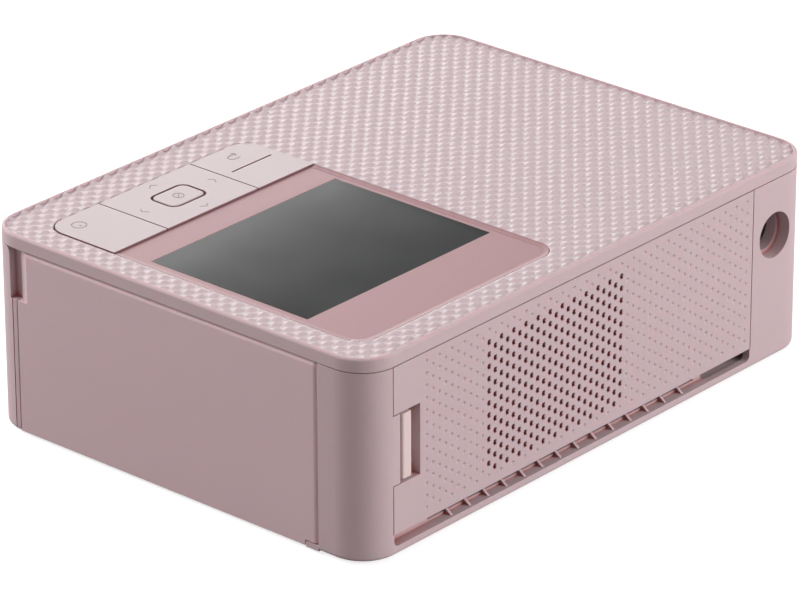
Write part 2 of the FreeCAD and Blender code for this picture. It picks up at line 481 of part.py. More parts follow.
def make_bottom_case():
    body = new_body("bottom_case")
    full = rectangle(("-half_w", "half_w"), ("-half_d", "half_d"), "corner_radius")
    pad(body, "XY", "case_block", full, "base_z", "seam_z")
    dress(body, "Fillet", "case_base_round", "base_round", flat_at("base_z"))
    inner = rectangle(("-inner_w", "inner_w"), ("-inner_d", "inner_d"), "inner_round")
    pocket(body, "XY", "case_hollow", inner, "floor_z", "seam_z + overrun")
    # blocks that carry the finger notch and the rear paper chute
    pad(body, "XY", "notch_block",
        rectangle(("inner_w - jamb_block", "inner_w"), ("notch_y - wall", "door_y0 - panel_gap")),
        "notch_z - wall", "seam_z")
    pad(body, "XY", "chute_block",
        rectangle(("bay_x0 - wall", "cover_x1"), ("half_d - chute_depth", "inner_d")),
        "floor_z", "floor_z + chute_top")
    boss(body, "XY", "case_posts", [(x, y, "post_radius") for x, y in four_ways("post_x", "post_y")],
         "floor_z", "post_z")
    board_x = ("-inner_w + board_post_radius + wall",
               "gear_plate_x - foot_flange - board_post_radius - clearance")
    board_y = ("-half_d + main_board_front + board_post_radius + wall",
               "half_d - main_board_rear - board_post_radius - wall")
    boss(body, "XY", "board_posts", [(x, y, "board_post_radius") for x in board_x for y in board_y],
         "floor_z", "board_z")
    card_x = ("card_x0 + board_post_radius", "card_x1 - board_post_radius")
    card_y = ("-inner_d + board_post_radius + wall", "-inner_d + card_length - board_post_radius")
    boss(body, "XY", "card_posts", [(x, y, "board_post_radius") for x in card_x for y in card_y],
         "floor_z", "card_board_z")
    boss(body, "XZ", "inlet_boss", [("inlet_x", "inlet_z", "inlet_radius + inlet_wall")],
         "half_d - inlet_length", "inner_d")
    # openings of the side door, the rear cover and the front flap
    pocket(body, "XY", "door_opening",
           rectangle(("door_x - panel_gap", "half_w + overrun"),
                     ("door_y0 - panel_gap", "door_y1 + panel_gap")),
           "base_z - overrun", "seam_z + overrun")
    pad(body, "XY", "hinge_ear",
        rectangle(("door_x - panel_gap", "half_w"), ("door_y1 - ear_length", "door_y1 + panel_gap")),
        "base_z", "ear_z")
    right = "cover_x1 + panel_gap"
    left = "cover_x0 - panel_gap"
    low, high = "cover_z0", "seam_z + overrun"
    keeper_low, keeper_high = "pocket_z0 + panel_gap", "pocket_z1 - panel_gap"
    pocket(body, "XZ", "cover_opening",
           [(left, low), (right, low), (right, keeper_low), ("keeper_x", keeper_low),
            ("keeper_x", keeper_high), (right, keeper_high), (right, high), (left, high)],
           "inner_d - clearance", "half_d + overrun")
    pocket(body, "XZ", "flap_opening",
           rectangle(("bay_x0 - panel_gap", "bay_x1 + panel_gap"),
                     ("flap_z0 - panel_gap", "flap_z1 + panel_gap")),
           "-half_d - overrun", "flap_y + clearance")
    # rear paper recess and slot
    pocket(body, "XZ", "chute_recess",
           [("cover_x0", "floor_z + clearance", "recess_round"),
            ("cover_x1", "floor_z + clearance", "recess_round"),
            ("cover_x1", "floor_z + clearance + recess_height"),
            ("cover_x0", "floor_z + clearance + recess_height")],
           "half_d - recess_depth", "half_d + overrun")
    pocket(body, "XZ", "chute_slot",
           rectangle(("bay_x0 + slot_inset", "bay_x1 - slot_inset"),
                     ("floor_z + slot_floor", "floor_z + slot_floor + slot_height")),
           "half_d - chute_depth - overrun", "half_d - recess_depth + overrun")
    rib = pad(body, "YZ", "chute_rib",
              [("half_d - chute_depth", "floor_z"), ("half_d - rib_setback", "floor_z"),
               ("half_d - rib_setback", "floor_z + clearance"),
               ("half_d - recess_depth", "floor_z + slot_floor + rib_height"),
               ("half_d - chute_depth", "floor_z + slot_floor + rib_height")],
              "bay_x - rib_pitch * (guide_ribs - 1) / 2 - rib_thickness / 2",
              "bay_x - rib_pitch * (guide_ribs - 1) / 2 + rib_thickness / 2")
    row = body.newObject("PartDesign::LinearPattern", "chute_ribs")
    row.Originals = [rib]
    row.Direction = (next(f for f in body.Origin.OriginFeatures if f.Role == "X_Axis"), [""])
    row.setExpression("Length", bound("rib_pitch * (guide_ribs - 1)"))
    row.setExpression("Occurrences", bound("guide_ribs"))
    body.Tip = row
    # power inlet, finger notch, trim groove and front sockets
    pocket(body, "XZ", "inlet_mouth", None, "half_d - inlet_step", "half_d + overrun",
           [("inlet_x", "inlet_z", "inlet_radius")])
    pocket(body, "XZ", "inlet_hole", None, "half_d - inlet_length - overrun", "half_d",
           [("inlet_x", "inlet_z", "inlet_bore")])
    pocket(body, "XY", "finger_notch",
           rectangle(("half_w - notch_depth", "half_w + overrun"), ("notch_y", "door_y0")),
           "notch_z", "seam_z + overrun")
    dress(body, "Fillet", "notch_lead", "notch_flare",
          lambda e: flat_at("seam_z")(e) and flat_at("notch_y", "y")(e)
          and e.Length < value("notch_depth + clearance"))
    pocket(body, "XY", "trim_groove",
           rectangle(("half_w - groove_depth", "half_w + overrun"),
                     ("door_y0 - strip_width - groove_width", "door_y0 - strip_width")),
           "base_z - overrun", "notch_z")
    pocket(body, "XZ", "card_slot",
           rectangle(("card_x0 + card_margin", "card_x1 - card_margin"), ("card_z", "card_z + card_slot")),
           "-half_d - overrun", "-inner_d + overrun / 2")
    socket_x = "(card_x0 + card_x1) / 2"
    pocket(body, "XZ", "socket_hole",
           rectangle((f"{socket_x} - socket_width / 2", f"{socket_x} + socket_width / 2"),
                     ("card_board_z - socket_height", "card_board_z"), "socket_round"),
           "-half_d - overrun", "-inner_d")
    # screw holes and foot seats under the floor
    posts = four_ways("post_x", "post_y")
    pocket(body, "XY", "screw_holes", None, "base_z - overrun", "post_z + overrun",
           [(x, y, "screw_radius + screw_fit") for x, y in posts])
    pocket(body, "XY", "screw_seats", None, "base_z - overrun", "base_z + head_depth",
           [(x, y, "head_radius + screw_fit") for x, y in posts])
    feet = four_ways("(half_w - foot_inset_x)", "(half_d - foot_inset_y)")
    pocket(body, "XY", "foot_seats", None, "base_z - overrun", "base_z + foot_sink",
           [(x, y, "foot_radius") for x, y in feet])
    pocket(body, "XY", "hinge_hole", None, "base_z - overrun", "ear_z + overrun",
           [("door_axis_x", "door_axis_y", "pin_radius + pin_fit")])
    pocket(body, "YZ", "flap_pin_holes", None, "bay_x0 - panel_gap - pin_reach",
           "bay_x1 + panel_gap + pin_reach", [("flap_axis_y", "flap_axis_z", "pin_radius + pin_fit")])
    return piece(body, "bottom_case")


def make_top_cover():
    body = new_body("top_cover")
    full = rectangle(("-half_w", "half_w"), ("-half_d", "half_d"), "corner_radius")
    pad(body, "XY", "lid_block", full, "rim_z", "height")
    dress(body, "Fillet", "rim_edge", "rim_round", flat_at("height"))
    field = rectangle(("-half_w + rim_width", "half_w - rim_width"),
                      ("-half_d + rim_width", "half_d - rim_width"), "corner_radius - rim_width")
    pocket(body, "XY", "relief_field", field, "field_z", "height + overrun")
    inner = rectangle(("-inner_w", "inner_w"), ("-inner_d", "inner_d"), "inner_round")
    pocket(body, "XY", "lid_hollow", inner, "rim_z - overrun", "plate_z")
    pad(body, "XY", "panel_frame",
        rectangle(("panel_x0 - wall", "panel_x1 + wall"), ("panel_y0 - wall", "panel_y1 + wall"),
                  "panel_round + wall"), "frame_z", "plate_z")
    boss(body, "XY", "pillars", [(x, y, "pillar_radius") for x, y in four_ways("post_x", "post_y")],
         "post_z", "plate_z")
    pad(body, "XY", "hinge_block",
        rectangle(("door_axis_x - hinge_block", "half_w"),
                  ("door_axis_y - hinge_block", "door_axis_y + hinge_block")),
        "rim_z", "plate_z")
    pocket(body, "XY", "panel_seat",
           rectangle(("panel_x0", "panel_x1"), ("panel_y0", "panel_y1"), "panel_round"),
           "bezel_z0", "height + overrun")
    ledge = rectangle(("panel_x0 + ledge_width", "panel_x1 - ledge_width"),
                      ("panel_y0 + ledge_width", "panel_y1 - ledge_width"), "panel_round - ledge_width")
    pocket(body, "XY", "panel_window", ledge, "frame_z - overrun", "bezel_z0 + overrun")
    bar = rectangle(("panel_x0 + ledge_width / 2", "panel_x1 - ledge_width / 2"),
                    ("key_y1 - ledge_width / 2", "key_y1 + ledge_width"))
    pad(body, "XY", "key_bar", bar, "frame_z", "bezel_z0")
    pegs = [("panel_x0 + ledge_width", "panel_y0 + panel_round"),
            ("panel_x1 - ledge_width", "panel_y0 + panel_round"),
            ("split_a", "key_y1"), ("split_b", "key_y1")]
    boss(body, "XY", "board_pegs", [(x, y, "key_post_radius") for x, y in pegs], "key_board_z", "frame_z")
    pocket(body, "XY", "pilot_holes", None, "post_z - overrun", "post_z + screw_length + overrun",
           [(x, y, "screw_radius") for x, y in four_ways("post_x", "post_y")])
    pocket(body, "XY", "top_hinge_hole", None, "rim_z - overrun", "rim_z + pin_reach",
           [("door_axis_x", "door_axis_y", "pin_radius + pin_fit")])
    return piece(body, "top_cover")


def make_feet_and_screws():
    feet = []
    for i, (x, y) in enumerate(four_ways("(half_w - foot_inset_x)", "(half_d - foot_inset_y)")):
        feet.append(rod(f"foot_{i}", "z", (x, y), "foot_radius", "0", "base_z + foot_sink"))
    piece(group("feet", feet), "feet")
    screws = []
    for i, (x, y) in enumerate(four_ways("post_x", "post_y")):
        head = rod(f"screw_head_{i}", "z", (x, y), "head_radius",
                   "base_z + head_depth - head_height", "base_z + head_depth")
        shank = rod(f"screw_shank_{i}", "z", (x, y), "screw_radius", "base_z + head_depth",
                    "post_z + screw_length")
        screws.append(fuse(f"case_screw_{i}", [head, shank]))
    piece(group("case_screws", screws), "case_screws")


def make_operation_panel():
    bezel = new_body("display_bezel")
    x = ("panel_x0 + clearance / 2", "panel_x1 - clearance / 2")
    outline = [(x[0], "key_y1 + key_gap / 2"), (x[1], "key_y1 + key_gap / 2"),
               (x[1], "panel_y1 - clearance / 2", "panel_round - clearance / 2"),
               (x[0], "panel_y1 - clearance / 2", "panel_round - clearance / 2")]
    pad(bezel, "XY", "bezel_plate", outline, "bezel_z0", "bezel_z1")
    pocket(bezel, "XY", "glass_seat_cut", rectangle(("glass_x0", "glass_x1"), ("glass_y0", "glass_y1")),
           "bezel_z1 - glass_thickness", "bezel_z1 + overrun")
    pocket(bezel, "XY", "glass_window",
           rectangle(("glass_x0 + glass_seat", "glass_x1 - glass_seat"),
                     ("glass_y0 + glass_seat", "glass_y1 - glass_seat")),
           "bezel_z0 - overrun", "bezel_z1")
    piece(bezel, "display_bezel")
    glass = box("lcd_window", ("glass_x0 + glass_fit", "glass_x1 - glass_fit"),
                ("glass_y0 + glass_fit", "glass_y1 - glass_fit"),
                ("bezel_z1 - glass_thickness", "bezel_z1"))
    piece(glass, "lcd_window")
    display = box("lcd_module", ("glass_x0 + display_margin", "glass_x1 - display_margin"),
                  ("glass_y0 + display_margin", "glass_y1 - display_margin"),
                  ("bezel_z0 - display_thickness", "bezel_z0"))
    piece(display, "lcd_module")


def key_cap(name, x, corners):
    """A key cap with its short stems; corners are the outline, x the places of the stems."""
    body = new_body(name)
    pad(body, "XY", name + "_cap", corners, "key_z0", "key_z1")
    boss(body, "XY", name + "_stems", [(place, level, "stem_radius") for place, level in x],
         "key_z0 - stem_length", "key_z0")
    return body


def make_keys():
    low, high = "panel_y0 + key_gap", "key_y1 - key_gap / 2"
    power_x = ("split_b + key_gap / 2", "panel_x1 - key_gap")
    power = key_cap("power_key", [("(split_b + panel_x1) / 2", "nav_y")],
                    [(power_x[0], low), (power_x[1], low, "panel_round - key_gap"), (power_x[1], high),
                     (power_x[0], high)])
    piece(power, "power_key")
    left_x = ("panel_x0 + key_gap", "split_a - key_gap / 2")
    middle = "(panel_x0 + split_a) / 2"
    left = key_cap("print_back_key",
                   [(middle, "nav_y + stem_spread"), (middle, "nav_y - stem_spread")],
                   [(left_x[0], low, "panel_round - key_gap"), (left_x[1], low), (left_x[1], high),
                    (left_x[0], high)])
    pocket(left, "XY", "key_slit",
           rectangle(("panel_x0 + slit_inset", "split_a - slit_inset"),
                     ("nav_y - slit_width / 2", "nav_y + slit_width / 2")),
           "key_z1 - slit_depth", "key_z1 + overrun")
    piece(left, "print_back_key")
    nav_low, nav_high = "split_a + key_gap / 2", "split_b - key_gap / 2"
    plate = new_body("nav_plate")
    pad(plate, "XY", "nav_cap", rectangle((nav_low, nav_high), (low, high)), "key_z0", "key_z1")
    hole = rectangle(("nav_x - ok_width / 2 - ok_gap", "nav_x + ok_width / 2 + ok_gap"),
                     ("nav_y - ok_depth / 2 - ok_gap", "nav_y + ok_depth / 2 + ok_gap"), "ok_round + ok_gap")
    pocket(plate, "XY", "ok_hole", hole, "key_z0 - overrun", "key_z1 + overrun")
    piece(plate, "nav_plate")
    ok = new_body("ok_key")
    pad(ok, "XY", "ok_cap",
        rectangle(("nav_x - ok_width / 2", "nav_x + ok_width / 2"),
                  ("nav_y - ok_depth / 2", "nav_y + ok_depth / 2"), "ok_round"),
        "key_z0", "key_z1 + ok_rise")
    dress(ok, "Fillet", "ok_edge", "ok_gap / 2", flat_at("key_z1 + ok_rise"))
    boss(ok, "XY", "ok_stem", [("nav_x", "nav_y", "stem_radius")], "key_z0 - stem_length", "key_z0")
    piece(ok, "ok_key")
    # the silicone mat under the navigation plate is a ring with four pads for the switches
    mat = new_body("nav_key_mat")
    mat_top = "key_z0 - 2 * clearance"
    mat_x = (f"{nav_low} + mat_inset", f"{nav_high} - mat_inset")
    mat_y = (f"{low} + mat_inset", f"{high} - mat_inset")
    pad(mat, "XY", "mat_ring", rectangle(mat_x, mat_y), f"{mat_top} - mat_thickness", mat_top)
    pocket(mat, "XY", "mat_hole",
           rectangle((f"{mat_x[0]} + mat_web", f"{mat_x[1]} - mat_web"),
                     (f"{mat_y[0]} + mat_web", f"{mat_y[1]} - mat_web")),
           f"{mat_top} - mat_thickness - overrun", f"{mat_top} + overrun")
    piece(mat, "nav_key_mat")
    board = box("key_board_sheet", ("panel_x0 - key_board_margin", "panel_x1"),
                ("panel_y0 + clearance", "key_y1 + key_board_margin"),
                ("key_board_z - key_board_thickness", "key_board_z"))
    half = "switch_side / 2"
    spots = {
        "power": ("(split_b + panel_x1) / 2", "nav_y"), "print": (middle, "nav_y + stem_spread"),
        "back": (middle, "nav_y - stem_spread"), "ok": ("nav_x", "nav_y"),
        "up": ("nav_x", f"{mat_y[1]} - mat_web / 2"), "down": ("nav_x", f"{mat_y[0]} + mat_web / 2"),
        "left": (f"{mat_x[0]} + mat_web / 2", "nav_y"), "right": (f"{mat_x[1]} - mat_web / 2", "nav_y"),
    }
    switches = [box(f"switch_{name}", (f"{x} - {half}", f"{x} + {half}"), (f"{y} - {half}", f"{y} + {half}"),
                    ("key_board_z", "key_board_z + switch_height")) for name, (x, y) in spots.items()]
    piece(fuse("key_board", [board] + switches), "key_board")


def make_ink_door():
    body = new_body("ink_door")
    pad(body, "YZ", "door_panel",
        [("door_y0", "door_z0"), ("door_y1", "door_z0"), ("door_y1", "lid_z", "door_corner"),
         ("door_y0", "lid_z")], "door_x", "half_w")
    # the rear edge is rounded about the hinge axis
    dress(body, "Fillet", "door_edge_out", "door_thickness / 2 - edge_rest",
          lambda e: flat_at("half_w", "x")(e) and flat_at("door_y1", "y")(e)
          and e.Length > value("door_thickness"))
    dress(body, "Fillet", "door_edge_in", "door_thickness / 2 - edge_rest",
          lambda e: flat_at("door_x", "x")(e) and flat_at("door_y1", "y")(e)
          and e.Length > value("door_thickness"))
    pocket(body, "XY", "ear_relief",
           rectangle(("door_x - overrun", "half_w + overrun"),
                     ("door_y1 - ear_length - clearance", "door_y1 + overrun")),
           "door_z0 - overrun", "ear_z + clearance")
    pocket(body, "XY", "door_scoop",
           [("half_w", "door_y0 + notch_door"), ("door_x + notch_lip", "door_y0"),
            ("door_x + notch_lip", "door_y0 - overrun"), ("half_w + overrun", "door_y0 - overrun"),
            ("half_w + overrun", "door_y0 + notch_door")], "notch_z", "lid_z + overrun")
    for label, place in (("low", "door_z0 + door_rib_margin"), ("high", "lid_z - door_rib_margin")):
        pad(body, "XY", f"door_rib_{label}",
            rectangle(("door_x - door_rib_depth", "door_x"),
                      ("door_y0 + door_rib_inset", "door_y1 - door_rib_inset")),
            place, f"{place} + door_rib_thickness")
    catch = "(door_z0 + lid_z) / 2"
    pad(body, "XY", "door_catch",
        [("door_x", "door_y0 + catch_setback"), ("door_x", "door_y0 + catch_setback + catch_thickness"),
         ("door_x - catch_depth", "door_y0 + catch_setback + catch_thickness"),
         ("door_x - catch_depth", "door_y0 + catch_setback - catch_nose"),
         ("door_x - catch_depth + catch_thickness", "door_y0 + catch_setback - catch_nose"),
         ("door_x - catch_depth + catch_thickness", "door_y0 + catch_setback")],
        f"{catch} - catch_width", f"{catch}")
    pocket(body, "XY", "pin_bores", None, "ear_z", "lid_z + overrun",
           [("door_axis_x", "door_axis_y", "pin_radius")])
    piece(body, "ink_door")
    spot = ("door_axis_x", "door_axis_y")
    low = rod("door_pin_low", "z", spot, "pin_radius", "base_z + clearance", "ear_z + clearance + pin_reach")
    high = rod("door_pin_high", "z", spot, "pin_radius", "lid_z - pin_reach", "rim_z + pin_reach - clearance")
    piece(group("door_hinge_pins", [low, high]), "door_hinge_pins")


def make_paper_slot_cover():
    body = new_body("paper_slot_cover")
    pad(body, "XZ", "flap_panel", rectangle(("bay_x0", "bay_x1"), ("flap_z0", "flap_z1")),
        "-half_d", "flap_y")
    dress(body, "Fillet", "flap_edge_out", "flap_thickness / 2 - edge_rest",
          lambda e: flat_at("flap_z0")(e) and flat_at("-half_d", "y")(e))
    dress(body, "Fillet", "flap_edge_in", "flap_thickness / 2 - edge_rest",
          lambda e: flat_at("flap_z0")(e) and flat_at("flap_y", "y")(e))
    pocket(body, "YZ", "flap_grip",
           [("-half_d", "flap_z1 - grip_height"), ("-half_d + grip_depth", "flap_z1"),
            ("-half_d + grip_depth", "flap_z1 + overrun"), ("-half_d - overrun", "flap_z1 + overrun"),
            ("-half_d - overrun", "flap_z1 - grip_height")],
           "bay_x - grip_width / 2", "bay_x + grip_width / 2")
    pocket(body, "YZ", "flap_pin_bore_left", None, "bay_x0 - overrun", "bay_x0 + pin_reach",
           [("flap_axis_y", "flap_axis_z", "pin_radius")])
    pocket(body, "YZ", "flap_pin_bore_right", None, "bay_x1 - pin_reach", "bay_x1 + overrun",
           [("flap_axis_y", "flap_axis_z", "pin_radius")])
    piece(body, "paper_slot_cover")
    spot = ("flap_axis_y", "flap_axis_z")
    left = rod("flap_pin_left", "x", spot, "pin_radius", "bay_x0 - pin_reach", "bay_x0 + pin_reach")
    right = rod("flap_pin_right", "x", spot, "pin_radius", "bay_x1 - pin_reach", "bay_x1 + pin_reach")
    piece(group("flap_hinge_pins", [left, right]), "flap_hinge_pins")


def vent_spots():
    """Rows and columns of the grille, every other column half a pitch lower."""
    columns = int(value("vent_field / vent_pitch_x")) + 1
    rows = int(value("(vent_z1 - cover_z0 - vent_bottom) / vent_pitch_z")) + 1
    x, z = value("vent_x1"), value("vent_z1")
    across, down = value("vent_pitch_x"), value("vent_pitch_z")
    return [(x - column * across, z - (row + (column % 2) / 2) * down)
            for column in range(columns) for row in range(rows)]


def make_rear_cover():
    body = new_body("rear_cover_shell")
    x1 = "cover_x1"
    outline = [("cover_x0", "cover_z0"), (x1, "cover_z0"), (x1, "pocket_z0"), ("pocket_x", "pocket_z0"),
               ("pocket_x", "pocket_z1"), (x1, "pocket_z1"), (x1, "lid_z"), ("cover_x0", "lid_z")]
    pad(body, "XZ", "cover_panel", outline, "cover_y", "half_d")
    # the housing round the latch: two side walls, an end wall and a back
    wall = "housing_wall"
    back = "half_d - pocket_depth"
    pad(body, "XZ", "housing_walls",
        [(f"pocket_x - {wall}", f"pocket_z0 - {wall}"), ("bar_x1", f"pocket_z0 - {wall}"),
         ("bar_x1", "pocket_z0"), ("pocket_x", "pocket_z0"), ("pocket_x", "pocket_z1"),
         ("bar_x1", "pocket_z1"), ("bar_x1", f"pocket_z1 + {wall}"),
         (f"pocket_x - {wall}", f"pocket_z1 + {wall}")], back, "cover_y")
    pad(body, "XZ", "housing_back",
        rectangle((f"pocket_x - {wall}", "bar_x1"), (f"pocket_z0 - {wall}", f"pocket_z1 + {wall}")),
        f"{back} - {wall}", back)
    # two hooks that reach behind the casing and form the hinge
    hooks = (("low", "cover_z0 + chute_top + hook_inset"), ("high", "lid_z - hook_inset - hook_height"))
    for label, level in hooks:
        pad(body, "XY", f"cover_hook_{label}",
            [("hinge_x - hook_reach", "hook_y0"), ("cover_x0 + panel_gap + hook_leg", "hook_y0"),
             ("cover_x0 + panel_gap + hook_leg", "cover_y"), ("cover_x0 + panel_gap", "cover_y"),
             ("cover_x0 + panel_gap", "hook_y1"), ("hinge_x - hook_reach", "hook_y1")],
            level, f"{level} + hook_height")
    half_x, half_z = value("vent_width") / 2, value("vent_height") / 2
    depth, start = value("cover_thickness + 2 * overrun"), value("cover_y - overrun")
    punches = [Part.makeBox(2 * half_x, depth, 2 * half_z, Vector(x - half_x, start, z - half_z))
               for x, z in vent_spots()]
    grille = doc.addObject("Part::Feature", "vent_punches")
    grille.Shape = Part.Compound(punches)
    piece(cut("rear_cover", body, [grille]), "rear_cover")


def make_cover_latch():
    body = new_body("cover_latch")
    base = "half_d - pocket_depth + clearance"
    low, high = "pocket_z0 + bar_end_gap", "pocket_z1 - bar_end_gap"
    pad(body, "XZ", "latch_bar", rectangle(("bar_x0", "bar_x1"), (low, high)), base, "half_d - clearance / 2")
    dress(body, "Fillet", "bar_edge", "bar_round",
          lambda e: flat_at("half_d - clearance / 2", "y")(e) and flat_at("bar_x1", "x")(e))
    pad(body, "XZ", "latch_foot_plate", rectangle(("bar_x0 - latch_foot", "bar_x0"), (low, high)),
        base, f"{base} + latch_base")
    middle = "(pocket_z0 + pocket_z1) / 2"
    pad(body, "XZ", "latch_nose",
        rectangle(("bar_x1", "bar_x1 + nose_reach"),
                  (f"{middle} - nose_height / 2", f"{middle} + nose_height / 2")),
        "hook_y0 - clearance", "hook_y0 - clearance + nose_thickness")
    piece(body, "cover_latch")


def make_power_inlet():
    """The jack is a stepped barrel with a round mouth and a centre pin, pushed in from inside."""
    front, back = "half_d - jack_setback", "half_d - jack_setback - jack_length"
    flange = "half_d - inlet_length"
    barrel = rod("jack_barrel", "y", ("inlet_x", "inlet_z"), "inlet_bore", back, front)
    collar = rod("jack_collar", "y", ("inlet_x", "inlet_z"), "inlet_bore + jack_flange",
                 f"{flange} - jack_flange_length", flange)
    mouth = rod("jack_mouth_cut", "y", ("inlet_x", "inlet_z"), "jack_mouth",
                f"{front} - jack_mouth_depth", f"{front} + overrun")
    pin = rod("jack_pin_rod", "y", ("inlet_x", "inlet_z"), "jack_pin",
              f"{front} - jack_mouth_depth", f"{front} - clearance")
    shell = cut("jack_shell", fuse("jack_body", [barrel, collar]), [mouth])
    piece(fuse("dc_jack", [shell, pin]), "dc_jack")


def make_boards():
    main_x = ("-inner_w + wall", "gear_plate_x - wall")
    main_y = ("-half_d + main_board_front", "half_d - main_board_rear")
    top = "board_z + board_thickness"
    board = box("main_board_sheet", main_x, main_y, ("board_z", top))
    chips = [box(f"chip_{i}", (f"{main_x[0]} + chip_side / 2", f"{main_x[0]} + chip_side * 3 / 2"),
                 (f"{main_y[0]} + chip_side * {2 * i + 1} / 2", f"{main_y[0]} + chip_side * {2 * i + 2} / 2"),
                 (top, f"{top} + chip_height")) for i in range(3)]
    piece(fuse("main_board", [board] + chips), "main_board")
    card_x = ("card_x0", "card_x1")
    card_y = ("-inner_d + clearance", "-inner_d + card_length")
    card = box("card_board_sheet", card_x, card_y, ("card_board_z", "card_z"))
    piece(card, "card_board")
    shell = box("reader_shell", ("card_x0", "card_x1"), card_y, ("card_z", "card_z + card_shell"))
    slot = box("reader_slot", ("card_x0 + card_margin", "card_x1 - card_margin"),
               ("-inner_d - overrun", "-inner_d + card_length - card_shell"),
               ("card_z", "card_z + card_slot"))
    piece(cut("card_reader", shell, [slot]), "card_reader")
    middle = "(card_x0 + card_x1) / 2"
    socket = box("socket_shell", (f"{middle} - socket_width / 2", f"{middle} + socket_width / 2"),
                 ("-inner_d + clearance", "-inner_d + clearance + socket_length"),
                 ("card_board_z - socket_height", "card_board_z"))
    mouth = box("socket_mouth",
                (f"{middle} - socket_width / 2 + socket_wall", f"{middle} + socket_width / 2 - socket_wall"),
                ("-inner_d - overrun", "-inner_d + clearance + socket_length - socket_wall"),
                ("card_board_z - socket_height + socket_wall", "card_board_z - socket_wall"))
    piece(cut("usb_socket", socket, [mouth]), "usb_socket")


def make_frame():
    """Two folded side plates, the gear plate and two stays carry everything that turns."""
    feet_y = ("unit_y0 + sheet_steel", "unit_y1 - sheet_steel")
    outline = rectangle(("unit_y0", "unit_y1"), ("floor_z", "unit_z"))
    fit = "journal_fit"
    shafts = [("platen_y", "platen_z", "bush_radius"), ("grip_y", "grip_z", "bush_radius"),
              ("grip_y", "pinch_z", f"pinch_journal + {fit}"),
              ("pick_shaft_y", "pick_shaft_z", "pick_shaft_radius")]
    pivot = ("pivot_y", "pivot_z", "pivot_radius")
    spindles = [("take_up_y", "spindle_z", f"journal_radius + {fit}"),
                ("supply_y", "spindle_z", f"journal_radius + {fit}")]
    left = new_body("left_side_plate")
    pad(left, "YZ", "left_plate", outline, "left_x", "bay_x0", shafts + [pivot] + spindles)
    # the foot is cut away under the gears
    pad(left, "XY", "left_foot_front",
        rectangle(("left_x - foot_flange", "left_x"),
                  (feet_y[0], "platen_y - gear_module * (platen_teeth / 2 + 1) - clearance")),
        "floor_z", "floor_z + sheet_steel")
    pad(left, "XY", "left_foot_rear",
        rectangle(("left_x - foot_flange", "left_x"),
                  ("grip_y + gear_module * (grip_teeth / 2 + 1) + clearance", feet_y[1])),
        "floor_z", "floor_z + sheet_steel")
    piece(left, "left_side_plate")
    right = new_body("right_side_plate")
    pad(right, "YZ", "right_plate", outline, "bay_x1", "right_x",
        shafts + [pivot, ("unit_y0 + lever_pivot_y", "floor_z + lever_pivot_z", "lever_pin")])
    pad(right, "XY", "right_foot", rectangle(("right_x", "right_x + foot_flange"), feet_y),
        "floor_z", "floor_z + sheet_steel")
    pocket(right, "YZ", "cassette_window",
           rectangle(("unit_y0 + window_front", "pivot_y - ear_radius - window_rear"),
                     ("floor_z + window_sill", "unit_z - window_head"), "sheet_round"),
           "bay_x1 - overrun", "right_x + overrun")
    piece(right, "right_side_plate")
    gears = new_body("gear_plate")
    outline = rectangle(("unit_y0", "unit_y1"), ("floor_z", "unit_z"), "sheet_round")
    pad(gears, "YZ", "gear_sheet", outline, "gear_plate_x", "gear_plate_x + sheet_steel",
        [("pinion_y", "pinion_z", "motor_pilot"), ("ribbon_y", "ribbon_z", "motor_pilot"),
         ("feed_y", "feed_z", "bore_radius"), ("idler_y", "idler_z", "bore_radius")])
    pad(gears, "XY", "gear_foot", rectangle(("gear_plate_x - foot_flange", "gear_plate_x"), feet_y),
        "floor_z", "floor_z + sheet_steel")
    piece(gears, "gear_plate")
    spots = [("unit_y0 + stay_width / 2", "unit_z - stay_width / 2"),
             ("unit_y1 - stay_width / 2", "unit_z - stay_width / 2"),
             ("unit_y0 + stay_width", "floor_z + stay_width"), ("take_up_y", "floor_z + stay_width")]
    spacers = [rod(f"spacer_{i}", "x", spot, "pivot_radius", "gear_plate_x + sheet_steel", "left_x")
               for i, spot in enumerate(spots)]
    piece(group("gear_plate_spacers", spacers), "gear_plate_spacers")
    across = ("bay_x0", "bay_x1")
    top = box("top_stay", across, ("unit_y0", "unit_y0 + stay_width"), ("unit_z - sheet_steel", "unit_z"))
    piece(top, "top_stay")
    rear = new_body("rear_stay")
    pad(rear, "XZ", "rear_sheet", rectangle(across, ("floor_z + rear_stay_lift", "unit_z")),
        "unit_y1", "unit_y1 + sheet_steel", [("fan_x", "fan_z", "fan_bore")])
    piece(rear, "rear_stay")
    guide = new_body("paper_guide")
    trough = "trough_gap"
    platen_a, platen_b = f"platen_y - platen_radius - {trough}", f"platen_y + platen_radius + {trough}"
    grip_a, grip_b = f"grip_y - grip_radius - {trough}", f"grip_y + grip_radius + {trough}"
    floor = "floor_z + guide_floor / 2"
    profile = [("platen_y - guide_front", "floor_z"), ("half_d - chute_depth - guide_end", "floor_z"),
               ("half_d - chute_depth - guide_end", "floor_z + slot_floor + rib_height"),
               (f"{grip_b} + {trough}", "guide_z"), (grip_b, "guide_z"), (grip_b, floor), (grip_a, floor),
               (grip_a, "guide_z"), (platen_b, "guide_z"), (platen_b, floor), (platen_a, floor),
               (platen_a, "guide_z"), ("platen_y - guide_front", "floor_z + guide_floor")]
    pad(guide, "YZ", "guide_profile", profile, "bay_x0", "bay_x1")
    piece(guide, "paper_guide")


def journals(radius, half):
    """The outline of a stepped roller, from the gear end to the right side plate."""
    left_end, right_end = "gear_x0", "right_x + plate_play"
    return [(left_end, "0"), (right_end, "0"), (right_end, half), ("bay_x1 - roller_end", half),
            ("bay_x1 - roller_end", radius), ("bay_x0 + roller_end", radius), ("bay_x0 + roller_end", half),
            (left_end, half)]


